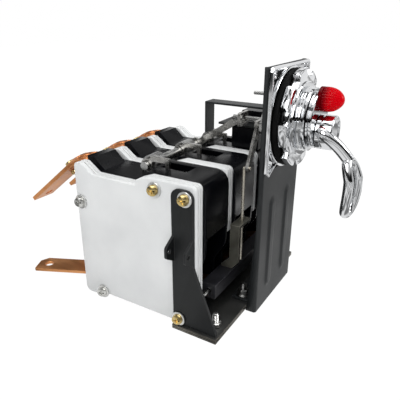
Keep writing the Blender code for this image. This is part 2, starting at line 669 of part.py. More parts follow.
# Face ring on the barrel's end, notched for the button
face_back = BARREL_END - GAP
face = part("barrel_face", prism("Y", face_back - FACE_T, face_back, circle(PANEL_X, BARREL_Z, FACE_R, 40),
                                 circle(PANEL_X, HANDLE_Z, SHAFT_R + 0.4 * MM, 24)), "chrome")
combine(face, rod((PANEL_X, face_back - FACE_T - MM, BUTTON_Z), (0.0, 1.0, 0.0), BUTTON_R + 0.4 * MM,
    FACE_T + 2 * MM, 32))

# Handle: turned hub with one side arm that ends in a closed loop grip, hung on the turning axis
handle_pivot = (PANEL_X, HUB_BACK, HANDLE_Z)
hub_front = HUB_BACK - HUB_LENGTH
shaft_front = HUB_BACK - SHAFT_SEAT
handle = part("handle", turned((PANEL_X, 0.0, HANDLE_Z), (0.0, 1.0, 0.0), (
    (0.0, hub_front), (HUB_R - 2.0 * MM, hub_front), (HUB_R, hub_front + 2.0 * MM), (HUB_R, HUB_BACK - MM),
    (HUB_R - MM, HUB_BACK), (SHAFT_R + GAP, HUB_BACK), (SHAFT_R + GAP, shaft_front), (0.0, shaft_front)), 32),
    "chrome", handle_pivot)
arm_out = SHAFT_R + GAP + ARM_R + 0.5 * MM
top_reach = LOOP_REACH - LOOP_LEAN
arm_line = [(-arm_out, -4.0 * MM, 2.4 * MM), (-arm_out - 2.2 * MM, -7.1 * MM, 1.6 * MM),
            (0.7 * MM - arm_out, -0.5 * top_reach, -3.1 * MM), (-0.46 * arm_out, -0.74 * top_reach,
            -LOOP_TOP / 2), (0.0, 0.5 * MM - top_reach, MM - LOOP_TOP)]
arm_line = [(PANEL_X + x, HUB_BACK + y, HANDLE_Z + z) for x, y, z in arm_line]
combine(handle, tube(bend(arm_line, 8.0 * MM, 3), ARM_R, 3), "UNION")
loop_corner = LOOP_HALF - 0.4 * MM
loop_line = []
for across, up in rounded([(-LOOP_HALF, -LOOP_TOP, loop_corner), (LOOP_HALF, -LOOP_TOP, loop_corner),
                           (LOOP_HALF, -LOOP_DROP, loop_corner), (-LOOP_HALF, -LOOP_DROP, loop_corner)]):
    lean = LOOP_LEAN * max(0.0, 1.0 + (up + LOOP_TOP) / (2 * LOOP_HALF))
    loop_line.append((PANEL_X + across * math.cos(LOOP_TURN),
                      HUB_BACK - LOOP_REACH + lean - across * math.sin(LOOP_TURN), HANDLE_Z + up))
combine(handle, tube(loop_line, LOOP_R, 2, True), "UNION")

# Handle shaft and the crank plate with its two drive pins
part("handle_shaft", rod((PANEL_X, shaft_front + GAP, HANDLE_Z), (0.0, 1.0, 0.0), SHAFT_R,
                         CRANK_BACK + 1.5 * MM - shaft_front - GAP, 24), "steel_bright", handle_pivot)
crank_front = CRANK_BACK - CRANK_T
lift_x = PANEL_X - LIFT_ARM
lever_x = PANEL_X + LEVER_ARM
crank = part("crank_plate", prism("Y", crank_front, CRANK_BACK, rounded([
    (lift_x - 4.5 * MM, HANDLE_Z - 5.0 * MM, 4.0 * MM), (PANEL_X, HANDLE_Z - 11.0 * MM, 5.0 * MM),
    (lever_x + 5.0 * MM, HANDLE_Z - 5.0 * MM, 4.0 * MM), (lever_x + 5.0 * MM, HANDLE_Z + 5.0 * MM,
    4.0 * MM),
    (PANEL_X + 5.0 * MM, HANDLE_Z + 18.5 * MM, 3.0 * MM), (PANEL_X - 2.0 * MM, HANDLE_Z + 18.5 * MM,
    3.0 * MM),
    (lift_x - 4.5 * MM, HANDLE_Z + 4.0 * MM, 3.0 * MM)]),
    circle(PANEL_X, HANDLE_Z, SHAFT_R + GAP, 24)), "steel_bright", handle_pivot)
link_back = CRANK_BACK + 1.7 * MM + LINK_T
combine(crank, rod((lift_x, CRANK_BACK - MM, HANDLE_Z), (0.0, 1.0, 0.0), LIFT_PIN_R,
                   link_back + 1.5 * MM - CRANK_BACK + MM, 16), "UNION")
combine(crank, rod((lever_x, CRANK_BACK - MM, HANDLE_Z), (0.0, 1.0, 0.0), LEVER_PIN_R,
                   EYE_Y + 9.5 * MM - CRANK_BACK + MM, 16), "UNION")

# Red push button with its long push rod
button_pivot = (PANEL_X, BUTTON_BACK, BUTTON_Z)
dome = BUTTON_BACK - BUTTON_LENGTH
part("red_button", turned((PANEL_X, 0.0, BUTTON_Z), (0.0, 1.0, 0.0), (
    (0.0, BUTTON_BACK - 5.0 * MM), (PLUNGER_R + GAP, BUTTON_BACK - 5.0 * MM), (PLUNGER_R + GAP,
    BUTTON_BACK),
    (BUTTON_R, BUTTON_BACK), (BUTTON_R, dome + 9.0 * MM), (BUTTON_R * 0.95, dome + 5.5 * MM),
    (BUTTON_R * 0.8, dome + 2.5 * MM), (BUTTON_R * 0.5, dome + 0.7 * MM), (0.0, dome)), 28), "red_lens",
    button_pivot)
part("button_plunger", rod((PANEL_X, BUTTON_BACK - 5.0 * MM + GAP, BUTTON_Z), (0.0, 1.0, 0.0), PLUNGER_R,
                           -2.5 * MM - BUTTON_BACK + 5.0 * MM - GAP, 16), "steel_bright", button_pivot)

# Drive link: slotted head on the crank's lift pin, eye on the drive rod
link_front = link_back - LINK_T
eye = Vector((ROD_X, ROD_EYE_Z))
head = Vector((lift_x, HANDLE_Z))
run = (head - eye).normalized()
side = Vector((-run.y, run.x)) * 3.5 * MM
shift = LIFT_ARM * (1 - math.cos(HANDLE_TURN))
slot_half = LIFT_PIN_R + PIN_PLAY
slot_left, slot_right = lift_x - slot_half, lift_x + shift + slot_half
wall = 2.2 * MM
head_left, head_right = slot_left - wall, slot_right + wall
head_low, head_high = HANDLE_Z - slot_half - wall, HANDLE_Z + slot_half + wall
left_foot = eye + side
right_foot = eye - side
left_meet = left_foot + run * ((head_left - left_foot.x) / run.x)
right_meet = right_foot + run * ((head_low - right_foot.y) / run.y)
base_angle = math.atan2(-side.y, -side.x)
eye_arc = [tuple(eye + Vector((math.cos(base_angle - math.pi * k / 8),
    math.sin(base_angle - math.pi * k / 8)))
                 * 3.5 * MM) for k in range(1, 8)]
lifter_pivot = (PANEL_X, 0.0, HANDLE_Z)
part("drive_link", prism("Y", link_front, link_back, [
    tuple(left_foot), (head_left, min(left_meet.y, head_high - MM)), (head_left, head_high), (head_right,
    head_high),
    (head_right, head_low), tuple(right_meet), tuple(right_foot)] + eye_arc,
    rounded([(slot_left, HANDLE_Z - slot_half, 1.2 * MM), (slot_right, HANDLE_Z - slot_half, 1.2 * MM),
             (slot_right, HANDLE_Z + slot_half, 1.2 * MM), (slot_left, HANDLE_Z + slot_half, 1.2 * MM)], 3),
    circle(ROD_X, ROD_EYE_Z, ROD_R + GAP, 12)), "steel_bright", lifter_pivot)

# Drive rod: thin upright rod with a bent top end
rod_line = bend([(ROD_X, ROD_Y, BASE_T + 36.0 * MM), (ROD_X, ROD_Y, ROD_EYE_Z), (ROD_X,
    link_front - 1.2 * MM, ROD_EYE_Z)],
                2.5 * MM, 4)
part("drive_rod", tube(rod_line, ROD_R, 1), "rod_ivory", lifter_pivot)

# Lifting lever: strip that stands on the crossbar, its top bent over round the rod
bar_top = CROSSBAR_Z + CROSSBAR_SIDE / 2
lifter_low = bar_top + GAP
lifter_front, lifter_back = ROD_Y - 4.5 * MM, ROD_Y + 4.5 * MM
lifter = part("lifting_lever", prism("X", LIFTER_X - LIFTER_T / 2, LIFTER_X + LIFTER_T / 2, [
    (lifter_front, LIFTER_TOP), (lifter_front, lifter_low + 8.0 * MM), (-5.5 * MM, lifter_low), (5.0 * MM,
    lifter_low),
    (5.0 * MM, lifter_low + 2.0 * MM), (lifter_back, lifter_low + 10.0 * MM), (lifter_back, LIFTER_TOP)]),
    "steel_dark", lifter_pivot)
combine(lifter, prism("Z", LIFTER_TOP - LIFTER_T, LIFTER_TOP, [
    (LIFTER_X - LIFTER_T / 2, lifter_front), (ROD_X + 8.5 * MM, lifter_front), (ROD_X + 8.5 * MM,
    lifter_back),
    (LIFTER_X - LIFTER_T / 2, lifter_back)], circle(ROD_X, ROD_Y, ROD_R + GAP, 12)), "UNION")

# Crossbar: insulating bar across the poles with a steel end pin
half = CROSSBAR_SIDE / 2
bar = part("crossbar", prism("X", -CROSSBAR_HALF, CROSSBAR_HALF, rounded([
    (-half, CROSSBAR_Z - half, 2.0 * MM), (half, CROSSBAR_Z - half, 2.0 * MM), (half, CROSSBAR_Z + half),
    (-half, CROSSBAR_Z + half)])), "bar_black", lifter_pivot)
combine(bar, rod((-CROSSBAR_HALF - MM, 0.0, CROSSBAR_Z), (1.0, 0.0, 0.0), CROSS_PIN_R + GAP, 16.0 * MM, 16))
part("crossbar_pin", rod((plate_low(0) + PLATE_T + GAP, 0.0, CROSSBAR_Z), (1.0, 0.0, 0.0), CROSS_PIN_R,
                         -CROSSBAR_HALF + 14.0 * MM - plate_low(0) - PLATE_T - GAP, 16), "steel_bright",
                         lifter_pivot)

# Moving contacts: one copper hook per pole on the crossbar
for i in range(POLES):
    middle = pole_middle(i)
    part(f"moving_contact_{i + 1}", prism("X", middle - 7.0 * MM, middle + 7.0 * MM, rounded([
        (half + GAP, CROSSBAR_Z - 5.0 * MM), (24.0 * MM, CROSSBAR_Z - 5.0 * MM, 3.0 * MM),
        (40.0 * MM, CROSSBAR_Z + 5.0 * MM, 4.0 * MM), (44.0 * MM, CROSSBAR_Z + 19.0 * MM),
        (40.0 * MM, CROSSBAR_Z + 20.0 * MM), (36.0 * MM, CROSSBAR_Z + 9.0 * MM, 4.0 * MM),
        (22.0 * MM, CROSSBAR_Z + 2.0 * MM, 3.0 * MM), (half + GAP, CROSSBAR_Z + 5.0 * MM)])), "copper",
        lifter_pivot)

# Top shaft in three saddles, with one finger per pole and the long drive lever
shaft_pivot = (0.0, TOP_SHAFT_Y, TOP_SHAFT_Z)
shaft_left = pole_middle(0) - 6.0 * MM
shaft_right = pole_middle(POLES - 1) + 20.0 * MM
part("top_shaft", rod((shaft_left, TOP_SHAFT_Y, TOP_SHAFT_Z), (1.0, 0.0, 0.0), TOP_SHAFT_R,
    shaft_right - shaft_left, 20),
     "steel_bright", shaft_pivot)
saddle_low = LOW_TOP + GAP
saddle_arc = [(TOP_SHAFT_Y + SADDLE_R * math.cos(t), TOP_SHAFT_Z + SADDLE_R * math.sin(t))
              for t in [math.pi * k / 12 for k in range(13)]]
finger_r = TOP_SHAFT_R + 2.0 * MM
finger_arc = [(TOP_SHAFT_Y + finger_r * math.cos(t), TOP_SHAFT_Z + finger_r * math.sin(t))
              for t in [math.radians(-130 + 20 * k) for k in range(13)]]
for i in range(POLES):
    middle = pole_middle(i)
    foot = TOP_SHAFT_Y + SADDLE_R + MM
    saddle = [(foot, saddle_low), (foot, saddle_low + 2.5 * MM), (foot - MM, saddle_low + 2.5 * MM)]
    mirror = [(2 * TOP_SHAFT_Y - y, z) for y, z in reversed(saddle)]
    part(f"saddle_{i + 1}", prism("X", middle + 1.5 * MM, middle + 1.5 * MM + SADDLE_WIDTH,
                                  saddle + saddle_arc + mirror,
                                  circle(TOP_SHAFT_Y, TOP_SHAFT_Z, TOP_SHAFT_R + GAP, 20)), "steel_bright")
    finger_top = TOP + 7.5 * MM
    part(f"crank_finger_{i + 1}", prism("X", middle - 2.5 * MM, middle - 2.5 * MM + FINGER_T, finger_arc + [
        (TOP_SHAFT_Y - 6.0 * MM, finger_top), (TOP_SHAFT_Y - 23.0 * MM, finger_top),
        (TOP_SHAFT_Y - 23.0 * MM, TOP - 10.0 * MM),
        (TOP_SHAFT_Y - 19.5 * MM, TOP - 10.0 * MM), (TOP_SHAFT_Y - 19.5 * MM, finger_top - 4.6 * MM),
        (TOP_SHAFT_Y - 6.5 * MM, finger_top - 4.6 * MM)], circle(TOP_SHAFT_Y, TOP_SHAFT_Z,
        TOP_SHAFT_R + GAP, 20)),
        "steel_bright", shaft_pivot)

# Drive lever: strip from the top shaft to a slotted eye round the crank's lever pin
lever_run = Vector((EYE_Y - TOP_SHAFT_Y, HANDLE_Z - TOP_SHAFT_Z)).normalized()
lever_hub = 6.5 * MM
hub_turn = math.atan2(lever_run.y, lever_run.x)
spread = math.asin(3.0 * MM / lever_hub)
hub_arc = [(TOP_SHAFT_Y + lever_hub * math.cos(t), TOP_SHAFT_Z + lever_hub * math.sin(t))
           for t in [hub_turn + spread + (2 * math.pi - 2 * spread) * k / 14 for k in range(15)]]
tip = Vector((EYE_Y + EYE_T / 2, HANDLE_Z))
lever = part("drive_lever", prism("X", STRIP_X - STRIP_T / 2, STRIP_X + STRIP_T / 2, hub_arc + [
    (tip.x, tip.y + 4.5 * MM), (tip.x - EYE_T, tip.y + 4.5 * MM), (tip.x - EYE_T, tip.y - 3.0 * MM),
    (tip.x, tip.y - 3.0 * MM)],
    circle(TOP_SHAFT_Y, TOP_SHAFT_Z, TOP_SHAFT_R + GAP, 20)), "steel_bright", shaft_pivot)
shift = LEVER_ARM * (1 - math.cos(HANDLE_TURN))
eye_half = LEVER_PIN_R + 1.0 * MM
eye_left, eye_right = lever_x - shift - LEVER_PIN_R - 0.5 * MM, lever_x + LEVER_PIN_R + 0.5 * MM
combine(lever, prism("Y", EYE_Y - EYE_T / 2, EYE_Y + EYE_T / 2, rounded([
    (eye_left - 2.5 * MM, HANDLE_Z - 6.0 * MM, 2.0 * MM), (STRIP_X + STRIP_T / 2, HANDLE_Z - 6.0 * MM),
    (STRIP_X + STRIP_T / 2, HANDLE_Z + 6.0 * MM), (eye_left - 2.5 * MM, HANDLE_Z + 6.0 * MM, 2.0 * MM)]),
    rounded([(eye_left, HANDLE_Z - eye_half, 2.0 * MM), (eye_right, HANDLE_Z - eye_half, 2.0 * MM),
             (eye_right, HANDLE_Z + eye_half, 2.0 * MM), (eye_left, HANDLE_Z + eye_half, 2.0 * MM)], 3)),
             "UNION")

# Interlock switch, its lid and the stepped cover on the far pole
part("interlock_switch", box((SWITCH_LEFT, SWITCH_RIGHT), (SWITCH_FRONT, SWITCH_BACK), (TOP,
    TOP + SWITCH_HEIGHT)),
     "housing_black")
part("interlock_lid", box((SWITCH_LEFT - MM, SWITCH_RIGHT + MM), (SWITCH_FRONT - 2.0 * MM,
    SWITCH_BACK + 14.0 * MM),
                          (LID_LOW, LID_LOW + LID_T)), "steel_black")
part("interlock_cover", box((COVER_LEFT, COVER_RIGHT), (COVER_FRONT, COVER_BACK), (LID_LOW + LID_T + GAP,
    COVER_TOP)),
     "housing_black")

# Bridge bracket: sheet from the panel's back over the cover, with a leg on the last saddle
bridge_low = BRIDGE_TOP - BRIDGE_T
bridge_front = panel_back + GAP
bridge_right = BRIDGE_LEFT + BRIDGE_WIDTH
tab_right = right - PANEL_T - GAP
tab_left = tab_right - 12.5 * MM
bridge = part("bridge_bracket", prism("Z", bridge_low, BRIDGE_TOP, (
    (tab_left, bridge_front), (tab_right, bridge_front), (tab_right, lip_back + 2 * GAP),
    (bridge_right + 13.75 * MM, lip_back + 2 * GAP), (bridge_right + 13.75 * MM, 5.0 * MM), (bridge_right,
    5.0 * MM),
    (bridge_right, BRIDGE_BACK), (BRIDGE_LEFT, BRIDGE_BACK), (BRIDGE_LEFT, -8.0 * MM), (tab_left,
    -8.0 * MM))), "steel_black")
combine(bridge, box((tab_left, tab_right), (bridge_front, bridge_front + BRIDGE_T),
    (bridge_low - 14.0 * MM, BRIDGE_TOP)),
        "UNION")
combine(bridge, box((BRIDGE_LEFT, bridge_right), (BRIDGE_BACK - BRIDGE_T, BRIDGE_BACK),
                    (TOP_SHAFT_Z + SADDLE_R + GAP, BRIDGE_TOP)), "UNION")
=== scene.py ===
import json
import math

import bmesh
import bpy
from mathutils import Matrix, Vector

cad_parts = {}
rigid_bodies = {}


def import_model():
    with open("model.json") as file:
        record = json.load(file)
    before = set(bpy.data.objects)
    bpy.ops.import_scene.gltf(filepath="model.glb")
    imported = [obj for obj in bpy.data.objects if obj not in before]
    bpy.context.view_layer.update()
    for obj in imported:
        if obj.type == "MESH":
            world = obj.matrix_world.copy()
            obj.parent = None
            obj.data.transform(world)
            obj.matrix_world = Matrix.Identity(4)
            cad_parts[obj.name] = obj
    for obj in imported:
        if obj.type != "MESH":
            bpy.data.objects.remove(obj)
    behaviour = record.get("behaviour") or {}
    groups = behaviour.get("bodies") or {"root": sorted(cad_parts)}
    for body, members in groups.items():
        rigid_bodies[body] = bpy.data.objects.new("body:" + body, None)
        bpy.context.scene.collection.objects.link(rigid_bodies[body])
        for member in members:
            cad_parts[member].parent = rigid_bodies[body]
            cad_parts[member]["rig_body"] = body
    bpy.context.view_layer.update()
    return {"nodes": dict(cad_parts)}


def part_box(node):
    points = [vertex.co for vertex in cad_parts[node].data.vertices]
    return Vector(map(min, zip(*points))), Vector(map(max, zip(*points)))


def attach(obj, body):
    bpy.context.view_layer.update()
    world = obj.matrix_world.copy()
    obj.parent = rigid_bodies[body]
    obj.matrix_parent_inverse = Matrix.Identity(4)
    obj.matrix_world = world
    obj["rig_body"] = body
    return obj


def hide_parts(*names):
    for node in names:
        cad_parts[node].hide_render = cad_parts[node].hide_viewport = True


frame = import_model()
scene = bpy.context.scene
scene.view_settings.view_transform = "Standard"
MM = 0.001

# Studio: a pale floor that runs out into a white backdrop, soft boxes above and to the left,
# and a darker room behind the camera that gives the plated pieces their dark streaks.


def put(tree, kind, values=None, **settings):
    """Add one node: a socket among the values becomes a link, anything else a fixed value."""
    made = tree.nodes.new(kind)
    for name, value in settings.items():
        setattr(made, name, value)
    for socket, value in (values or {}).items():
        several = value if isinstance(value, list) else [value]
        for one in several:
            if isinstance(one, bpy.types.NodeSocket):
                tree.links.new(one, made.inputs[socket])
            else:
                made.inputs[socket].default_value = one
    return made


def ramp(tree, factor, stops):
    """A colour ramp of (place, grey or colour) stops."""
    made = put(tree, "ShaderNodeValToRGB", {"Fac": factor})
    elements = made.color_ramp.elements
    while len(elements) < len(stops):
        elements.new(0.5)
    for element, (place, colour) in zip(elements, stops):
        element.position = place
        element.color = (*colour, 1.0) if isinstance(colour, tuple) else (colour, colour, colour, 1.0)
    return made.outputs["Color"]


LENS = 451.4 / 400 * 36
CAMERA_PLACE = (-0.3426, -0.1610, 0.2472)
azimuth, elevation, roll = math.radians(-59.06), math.radians(22.5), math.radians(0.15)
back = Vector((math.sin(azimuth) * math.cos(elevation), -math.cos(azimuth) * math.cos(elevation),
               math.sin(elevation)))
level = Vector((0.0, 0.0, 1.0)).cross(back).normalized()
upright = back.cross(level)
across = level * math.cos(roll) + upright * math.sin(roll)
up = upright * math.cos(roll) - level * math.sin(roll)
camera = bpy.data.objects.new("camera", bpy.data.cameras.new("camera"))
camera.data.lens = LENS
camera.data.sensor_width = 36
camera.data.clip_start = 0.01
camera.matrix_world = Matrix.Translation(CAMERA_PLACE) @ Matrix((across, up, back)).transposed().to_4x4()
scene.collection.objects.link(camera)
scene.camera = camera

scene.world = bpy.data.worlds.new("studio")
scene.world.use_nodes = True
room = scene.world.node_tree
room.nodes.clear()
ray = put(room, "ShaderNodeLightPath").outputs
toward = put(room, "ShaderNodeTexCoord").outputs["Generated"]
height = put(room, "ShaderNodeSeparateXYZ", {"Vector": toward}).outputs["Z"]
height = put(room, "ShaderNodeMapRange", {"Value": height, "From Min": -1.0}).outputs["Result"]
behind = put(room, "ShaderNodeVectorMath", {0: toward, 1: tuple(back)}, operation="DOT_PRODUCT")
behind = put(room, "ShaderNodeMapRange", {"Value": behind.outputs["Value"], "From Min": -0.15,
                                          "From Max": 0.35}).outputs["Result"]
dark_room = ramp(room, height, ((0.0, 0.8), (0.44, 0.7), (0.49, 0.03), (0.6, 0.04), (0.66, 0.6),
                                (0.8, 1.0)))
graded = put(room, "ShaderNodeMix", {0: behind, 6: (1.0, 1.0, 1.0, 1.0), 7: dark_room}, data_type="RGBA")
screens = put(room, "ShaderNodeTexNoise", {"Vector": toward, "Scale": 2.6, "Detail": 1.0}).outputs["Fac"]
screens = ramp(room, screens, ((0.42, 0.08), (0.5, 1.25)))
screens = put(room, "ShaderNodeMix", {0: ray["Is Glossy Ray"], 6: (1.0, 1.0, 1.0, 1.0), 7: screens},
              data_type="RGBA")
graded = put(room, "ShaderNodeMix", {0: 1.0, 6: graded.outputs[2], 7: screens.outputs[2]}, data_type="RGBA",
             blend_type="MULTIPLY")
lit = put(room, "ShaderNodeBackground", {"Color": graded.outputs[2], "Strength": 0.75})
white = put(room, "ShaderNodeBackground", {"Color": (1.0, 1.0, 1.0, 1.0), "Strength": 1.0})
seen = put(room, "ShaderNodeMath", {0: ray["Is Camera Ray"], 1: ray["Is Transmission Ray"]},
           operation="MAXIMUM")
shown = put(room, "ShaderNodeMixShader", {0: seen.outputs[0], 1: lit.outputs[0], 2: white.outputs[0]})
put(room, "ShaderNodeOutputWorld", {"Surface": shown.outputs[0]})

floor_half = 3.0
floor_drop = 0.2 * MM
ground = bpy.data.meshes.new("floor")
ground.from_pydata([(-floor_half, -floor_half, -floor_drop), (floor_half, -floor_half, -floor_drop),
                    (floor_half, floor_half, -floor_drop), (-floor_half, floor_half, -floor_drop)],
                   [], [(0, 1, 2, 3)])
paper = bpy.data.materials.new("studio_paper")
paper.use_nodes = True
sheet = paper.node_tree
sheet.nodes.clear()
ray = put(sheet, "ShaderNodeLightPath").outputs
fibre = put(sheet, "ShaderNodeTexNoise", {"Vector": put(sheet, "ShaderNodeTexCoord").outputs["Object"],
                                          "Scale": 40.0}).outputs["Fac"]
pale = put(sheet, "ShaderNodeBsdfDiffuse", {"Color": ramp(sheet, fibre, ((0.0, 0.9), (1.0, 0.94)))})
spread = put(sheet, "ShaderNodeTexNoise", {"Vector": put(sheet, "ShaderNodeTexCoord").outputs["Object"],
                                           "Scale": 7.0, "Detail": 1.0}).outputs["Fac"]
patches = ramp(sheet, spread, ((0.44, 0.16), (0.54, 0.85)))
mirrored = put(sheet, "ShaderNodeMix", {0: ray["Is Glossy Ray"], 6: (1.04, 1.04, 1.04, 1.0), 7: patches},
               data_type="RGBA")
glow = put(sheet, "ShaderNodeEmission", {"Color": mirrored.outputs[2], "Strength": 1.0})
seen = put(sheet, "ShaderNodeMath", {0: ray["Is Camera Ray"], 1: ray["Is Glossy Ray"]}, operation="MAXIMUM")
seen = put(sheet, "ShaderNodeMath", {0: seen.outputs[0], 1: ray["Is Transmission Ray"]}, operation="MAXIMUM")
share = put(sheet, "ShaderNodeMath", {0: seen.outputs[0], 1: 0.95}, operation="MULTIPLY")
mixed = put(sheet, "ShaderNodeMixShader", {0: share.outputs[0], 1: pale.outputs[0], 2: glow.outputs[0]})
put(sheet, "ShaderNodeOutputMaterial", {"Surface": mixed.outputs[0]})
ground.materials.append(paper)
floor = bpy.data.objects.new("floor", ground)
scene.collection.objects.link(floor)

target = Vector((0.0, 0.05, 0.1))
for name, place, size, power in (("key_box", (-0.95, -0.15, 0.75), 0.7, 6.5),
                                 ("top_box", (0.15, 0.0, 1.25), 0.9, 8.0),
                                 ("front_strip", (0.55, -0.95, 0.55), 0.35, 3.0)):
    lamp = bpy.data.objects.new(name, bpy.data.lights.new(name, "AREA"))
    lamp.data.size = size
    lamp.data.energy = power
    lamp.location = place
    lamp.rotation_euler = (Vector(place) - target).to_track_quat("Z", "Y").to_euler()
    scene.collection.objects.link(lamp)

# Base rail: a flat strip of black coated steel under the front of the stack, sheared to length,
# so that its cut edges show fine pale shear lines.


def finish(name, deep, pale, metallic, smooth, rough, patch, grain, lift, edge_wear_and_highlight=None, stretch=(1.0, 1.0, 1.0),
           gleam=0.5):
    """A surface whose colour and gloss drift in patches, with a fine grain and lighter edges that are partly
    wear and partly a painted highlight.
    """
    material = bpy.data.materials.new(name)
    material.use_nodes = True
    tree = material.node_tree
    shader = tree.nodes["Principled BSDF"]
    place = put(tree, "ShaderNodeTexCoord").outputs["Object"]
    place = put(tree, "ShaderNodeMapping", {"Vector": place, "Scale": stretch}).outputs["Vector"]
    drift = put(tree, "ShaderNodeTexNoise", {"Vector": place, "Scale": patch, "Detail": 5.0}).outputs["Fac"]
    colour = ramp(tree, drift, ((0.3, deep), (0.7, pale)))
    # Lighter edges: a Bevel normal mask mixes every edge toward a paler colour, partly wear and partly a
    # painted highlight.
    if edge_wear_and_highlight:
        eased = put(tree, "ShaderNodeBevel", {"Radius": 0.7 * MM}, samples=4).outputs["Normal"]
        true = put(tree, "ShaderNodeNewGeometry").outputs["Normal"]
        turn = put(tree, "ShaderNodeVectorMath", {0: eased, 1: true}, operation="DOT_PRODUCT")
        edge = put(tree, "ShaderNodeMapRange", {"Value": turn.outputs["Value"], "From Min": 0.99,
                                                "From Max": 0.8}).outputs[0]
        colour = put(tree, "ShaderNodeMix", {0: edge, 6: colour, 7: (*edge_wear_and_highlight, 1.0)}, data_type="RGBA")
        colour = colour.outputs[2]
    tree.links.new(colour, shader.inputs["Base Color"])
    gloss = put(tree, "ShaderNodeMapRange", {"Value": drift, "From Min": 0.3, "From Max": 0.7,
                                             "To Min": smooth, "To Max": rough}).outputs["Result"]
    tree.links.new(gloss, shader.inputs["Roughness"])
    shader.inputs["Metallic"].default_value = metallic
    shader.inputs["Specular IOR Level"].default_value = gleam
    speckle = put(tree, "ShaderNodeTexNoise", {"Vector": place, "Scale": grain, "Detail": 2.0}).outputs["Fac"]
    bump = put(tree, "ShaderNodeBump", {"Height": speckle, "Strength": lift, "Distance": 0.2 * MM})
    tree.links.new(bump.outputs["Normal"], shader.inputs["Normal"])
    return material


def piece(name, shape, material, body="frame", stands_for=(), ease=0.0, crease=40.0):
    """Link a finished mesh, ride it on its body and let it stand for its solids."""
    mesh = shape
    if isinstance(shape, bmesh.types.BMesh):
        mesh = bpy.data.meshes.new(name)
        bmesh.ops.recalc_face_normals(shape, faces=shape.faces)
        shape.to_mesh(mesh)
        shape.free()
    mesh.materials.clear()
    mesh.materials.append(material)
    mesh.polygons.foreach_set("material_index", [0] * len(mesh.polygons))
    mesh.polygons.foreach_set("use_smooth", [True] * len(mesh.polygons))
    mesh.set_sharp_from_angle(angle=math.radians(crease))
    item = bpy.data.objects.new(name, mesh)
    scene.collection.objects.link(item)
    if ease:
        rounding = item.modifiers.new("eased edges", "BEVEL")
        rounding.width = ease
        rounding.segments = 2
        rounding.limit_method = "ANGLE"
        rounding.angle_limit = math.radians(crease)
        rounding.harden_normals = True
    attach(item, body)
    if stands_for:
        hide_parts(*stands_for)
    return item


def dress(node, material, ease=0.3 * MM):
    """Stand a merged copy of a solid in its place, with eased edges and its finish."""
    solid = frame["nodes"][node]
    shape = bmesh.new()
    shape.from_mesh(solid.data)
    bmesh.ops.remove_doubles(shape, verts=shape.verts, dist=0.001 * MM)
    bmesh.ops.dissolve_limit(shape, angle_limit=math.radians(1.0), verts=shape.verts, edges=shape.edges)
    return piece(node + "_skin", shape, material, solid["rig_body"], (node,), ease)


rail_coat = finish(
    "rail_coat", deep=(0.018, 0.0185, 0.018), pale=(0.034, 0.0345, 0.033), metallic=0.0, smooth=0.3,
    rough=0.44, patch=60.0, grain=1800.0, lift=0.12, edge_wear_and_highlight=(0.16, 0.14, 0.11), gleam=0.4)
dress("base_rail", rail_coat, 0.25 * MM)
sheared_edge = finish(
    "sheared_edge", deep=(0.3, 0.27, 0.21), pale=(0.5, 0.46, 0.38), metallic=1.0, smooth=0.3, rough=0.45,
    patch=200.0, grain=2400.0, lift=0.1)
SHEAR_T = 0.35 * MM
SHEAR_PROUD = 0.12 * MM
low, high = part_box("base_rail")
shear_lines = bmesh.new()
for share in (0.3, 0.7):
    middle = low.z + (high.z - low.z) * share
    bmesh.ops.create_cube(shear_lines, size=1.0, matrix=Matrix.LocRotScale(
        ((low.x + high.x) / 2, (low.y + high.y) / 2, middle), None,
        (high.x - low.x + 2 * SHEAR_PROUD, high.y - low.y + 2 * SHEAR_PROUD, SHEAR_T)))
piece("rail_shear_lines", shear_lines, sheared_edge)

# Pole plates: four walls moulded in light grey plastic that clamp the poles between them.
# Each edge is stepped, with two fine grooves that run all the way round.


def rounded(points, steps=6):
    """An outline with arcs at its corners: each point is (across, up) or (across, up, radius)."""
    result = []
    count = len(points)
    for i in range(count):
        here = Vector(points[i][:2])
        radius = points[i][2] if len(points[i]) > 2 else 0.0
        if radius == 0.0:
            result.append(here)
            continue
        before = (Vector(points[i - 1][:2]) - here).normalized()
        after = (Vector(points[(i + 1) % count][:2]) - here).normalized()
        half = before.angle(after) / 2
        centre = here + (before + after).normalized() * (radius / math.sin(half))
        first = here + before * (radius / math.tan(half)) - centre
        sense = 1.0 if before.x * after.y - before.y * after.x < 0 else -1.0
        for k in range(steps + 1):
            turn = Matrix.Rotation(sense * (math.pi - 2 * half) * k / steps, 2)
            result.append(centre + turn @ first)
    return result


def layered(axis, outline, levels):
    """Stack one outline along an axis, pulled in by a depth at each station, and cap both ends."""
    count = len(outline)
    area = sum(outline[i - 1].x * outline[i].y - outline[i].x * outline[i - 1].y for i in range(count))
    hand = 1.0 if area > 0 else -1.0
    inward = []
    for i, here in enumerate(outline):
        before = (here - outline[i - 1]).normalized()
        after = (outline[(i + 1) % count] - here).normalized()
        first, second = Vector((-before.y, before.x)), Vector((-after.y, after.x))
        inward.append((first + second) * hand / (1.0 + max(-0.5, first.dot(second))))
    shape = bmesh.new()
    rings = []
    for station, depth in levels:
        ring = []
        for here, pull in zip(outline, inward):
            spot = here + pull * depth
            place = {"X": (station, spot.x, spot.y), "Y": (spot.x, station, spot.y),
                     "Z": (spot.x, spot.y, station)}[axis]
            ring.append(shape.verts.new(place))
        rings.append(ring)
    for low, high in zip(rings, rings[1:]):
        for i in range(count):
            shape.faces.new((low[i - 1], low[i], high[i], high[i - 1]))
    shape.faces.new(rings[0])
    shape.faces.new(rings[-1])
    return shape


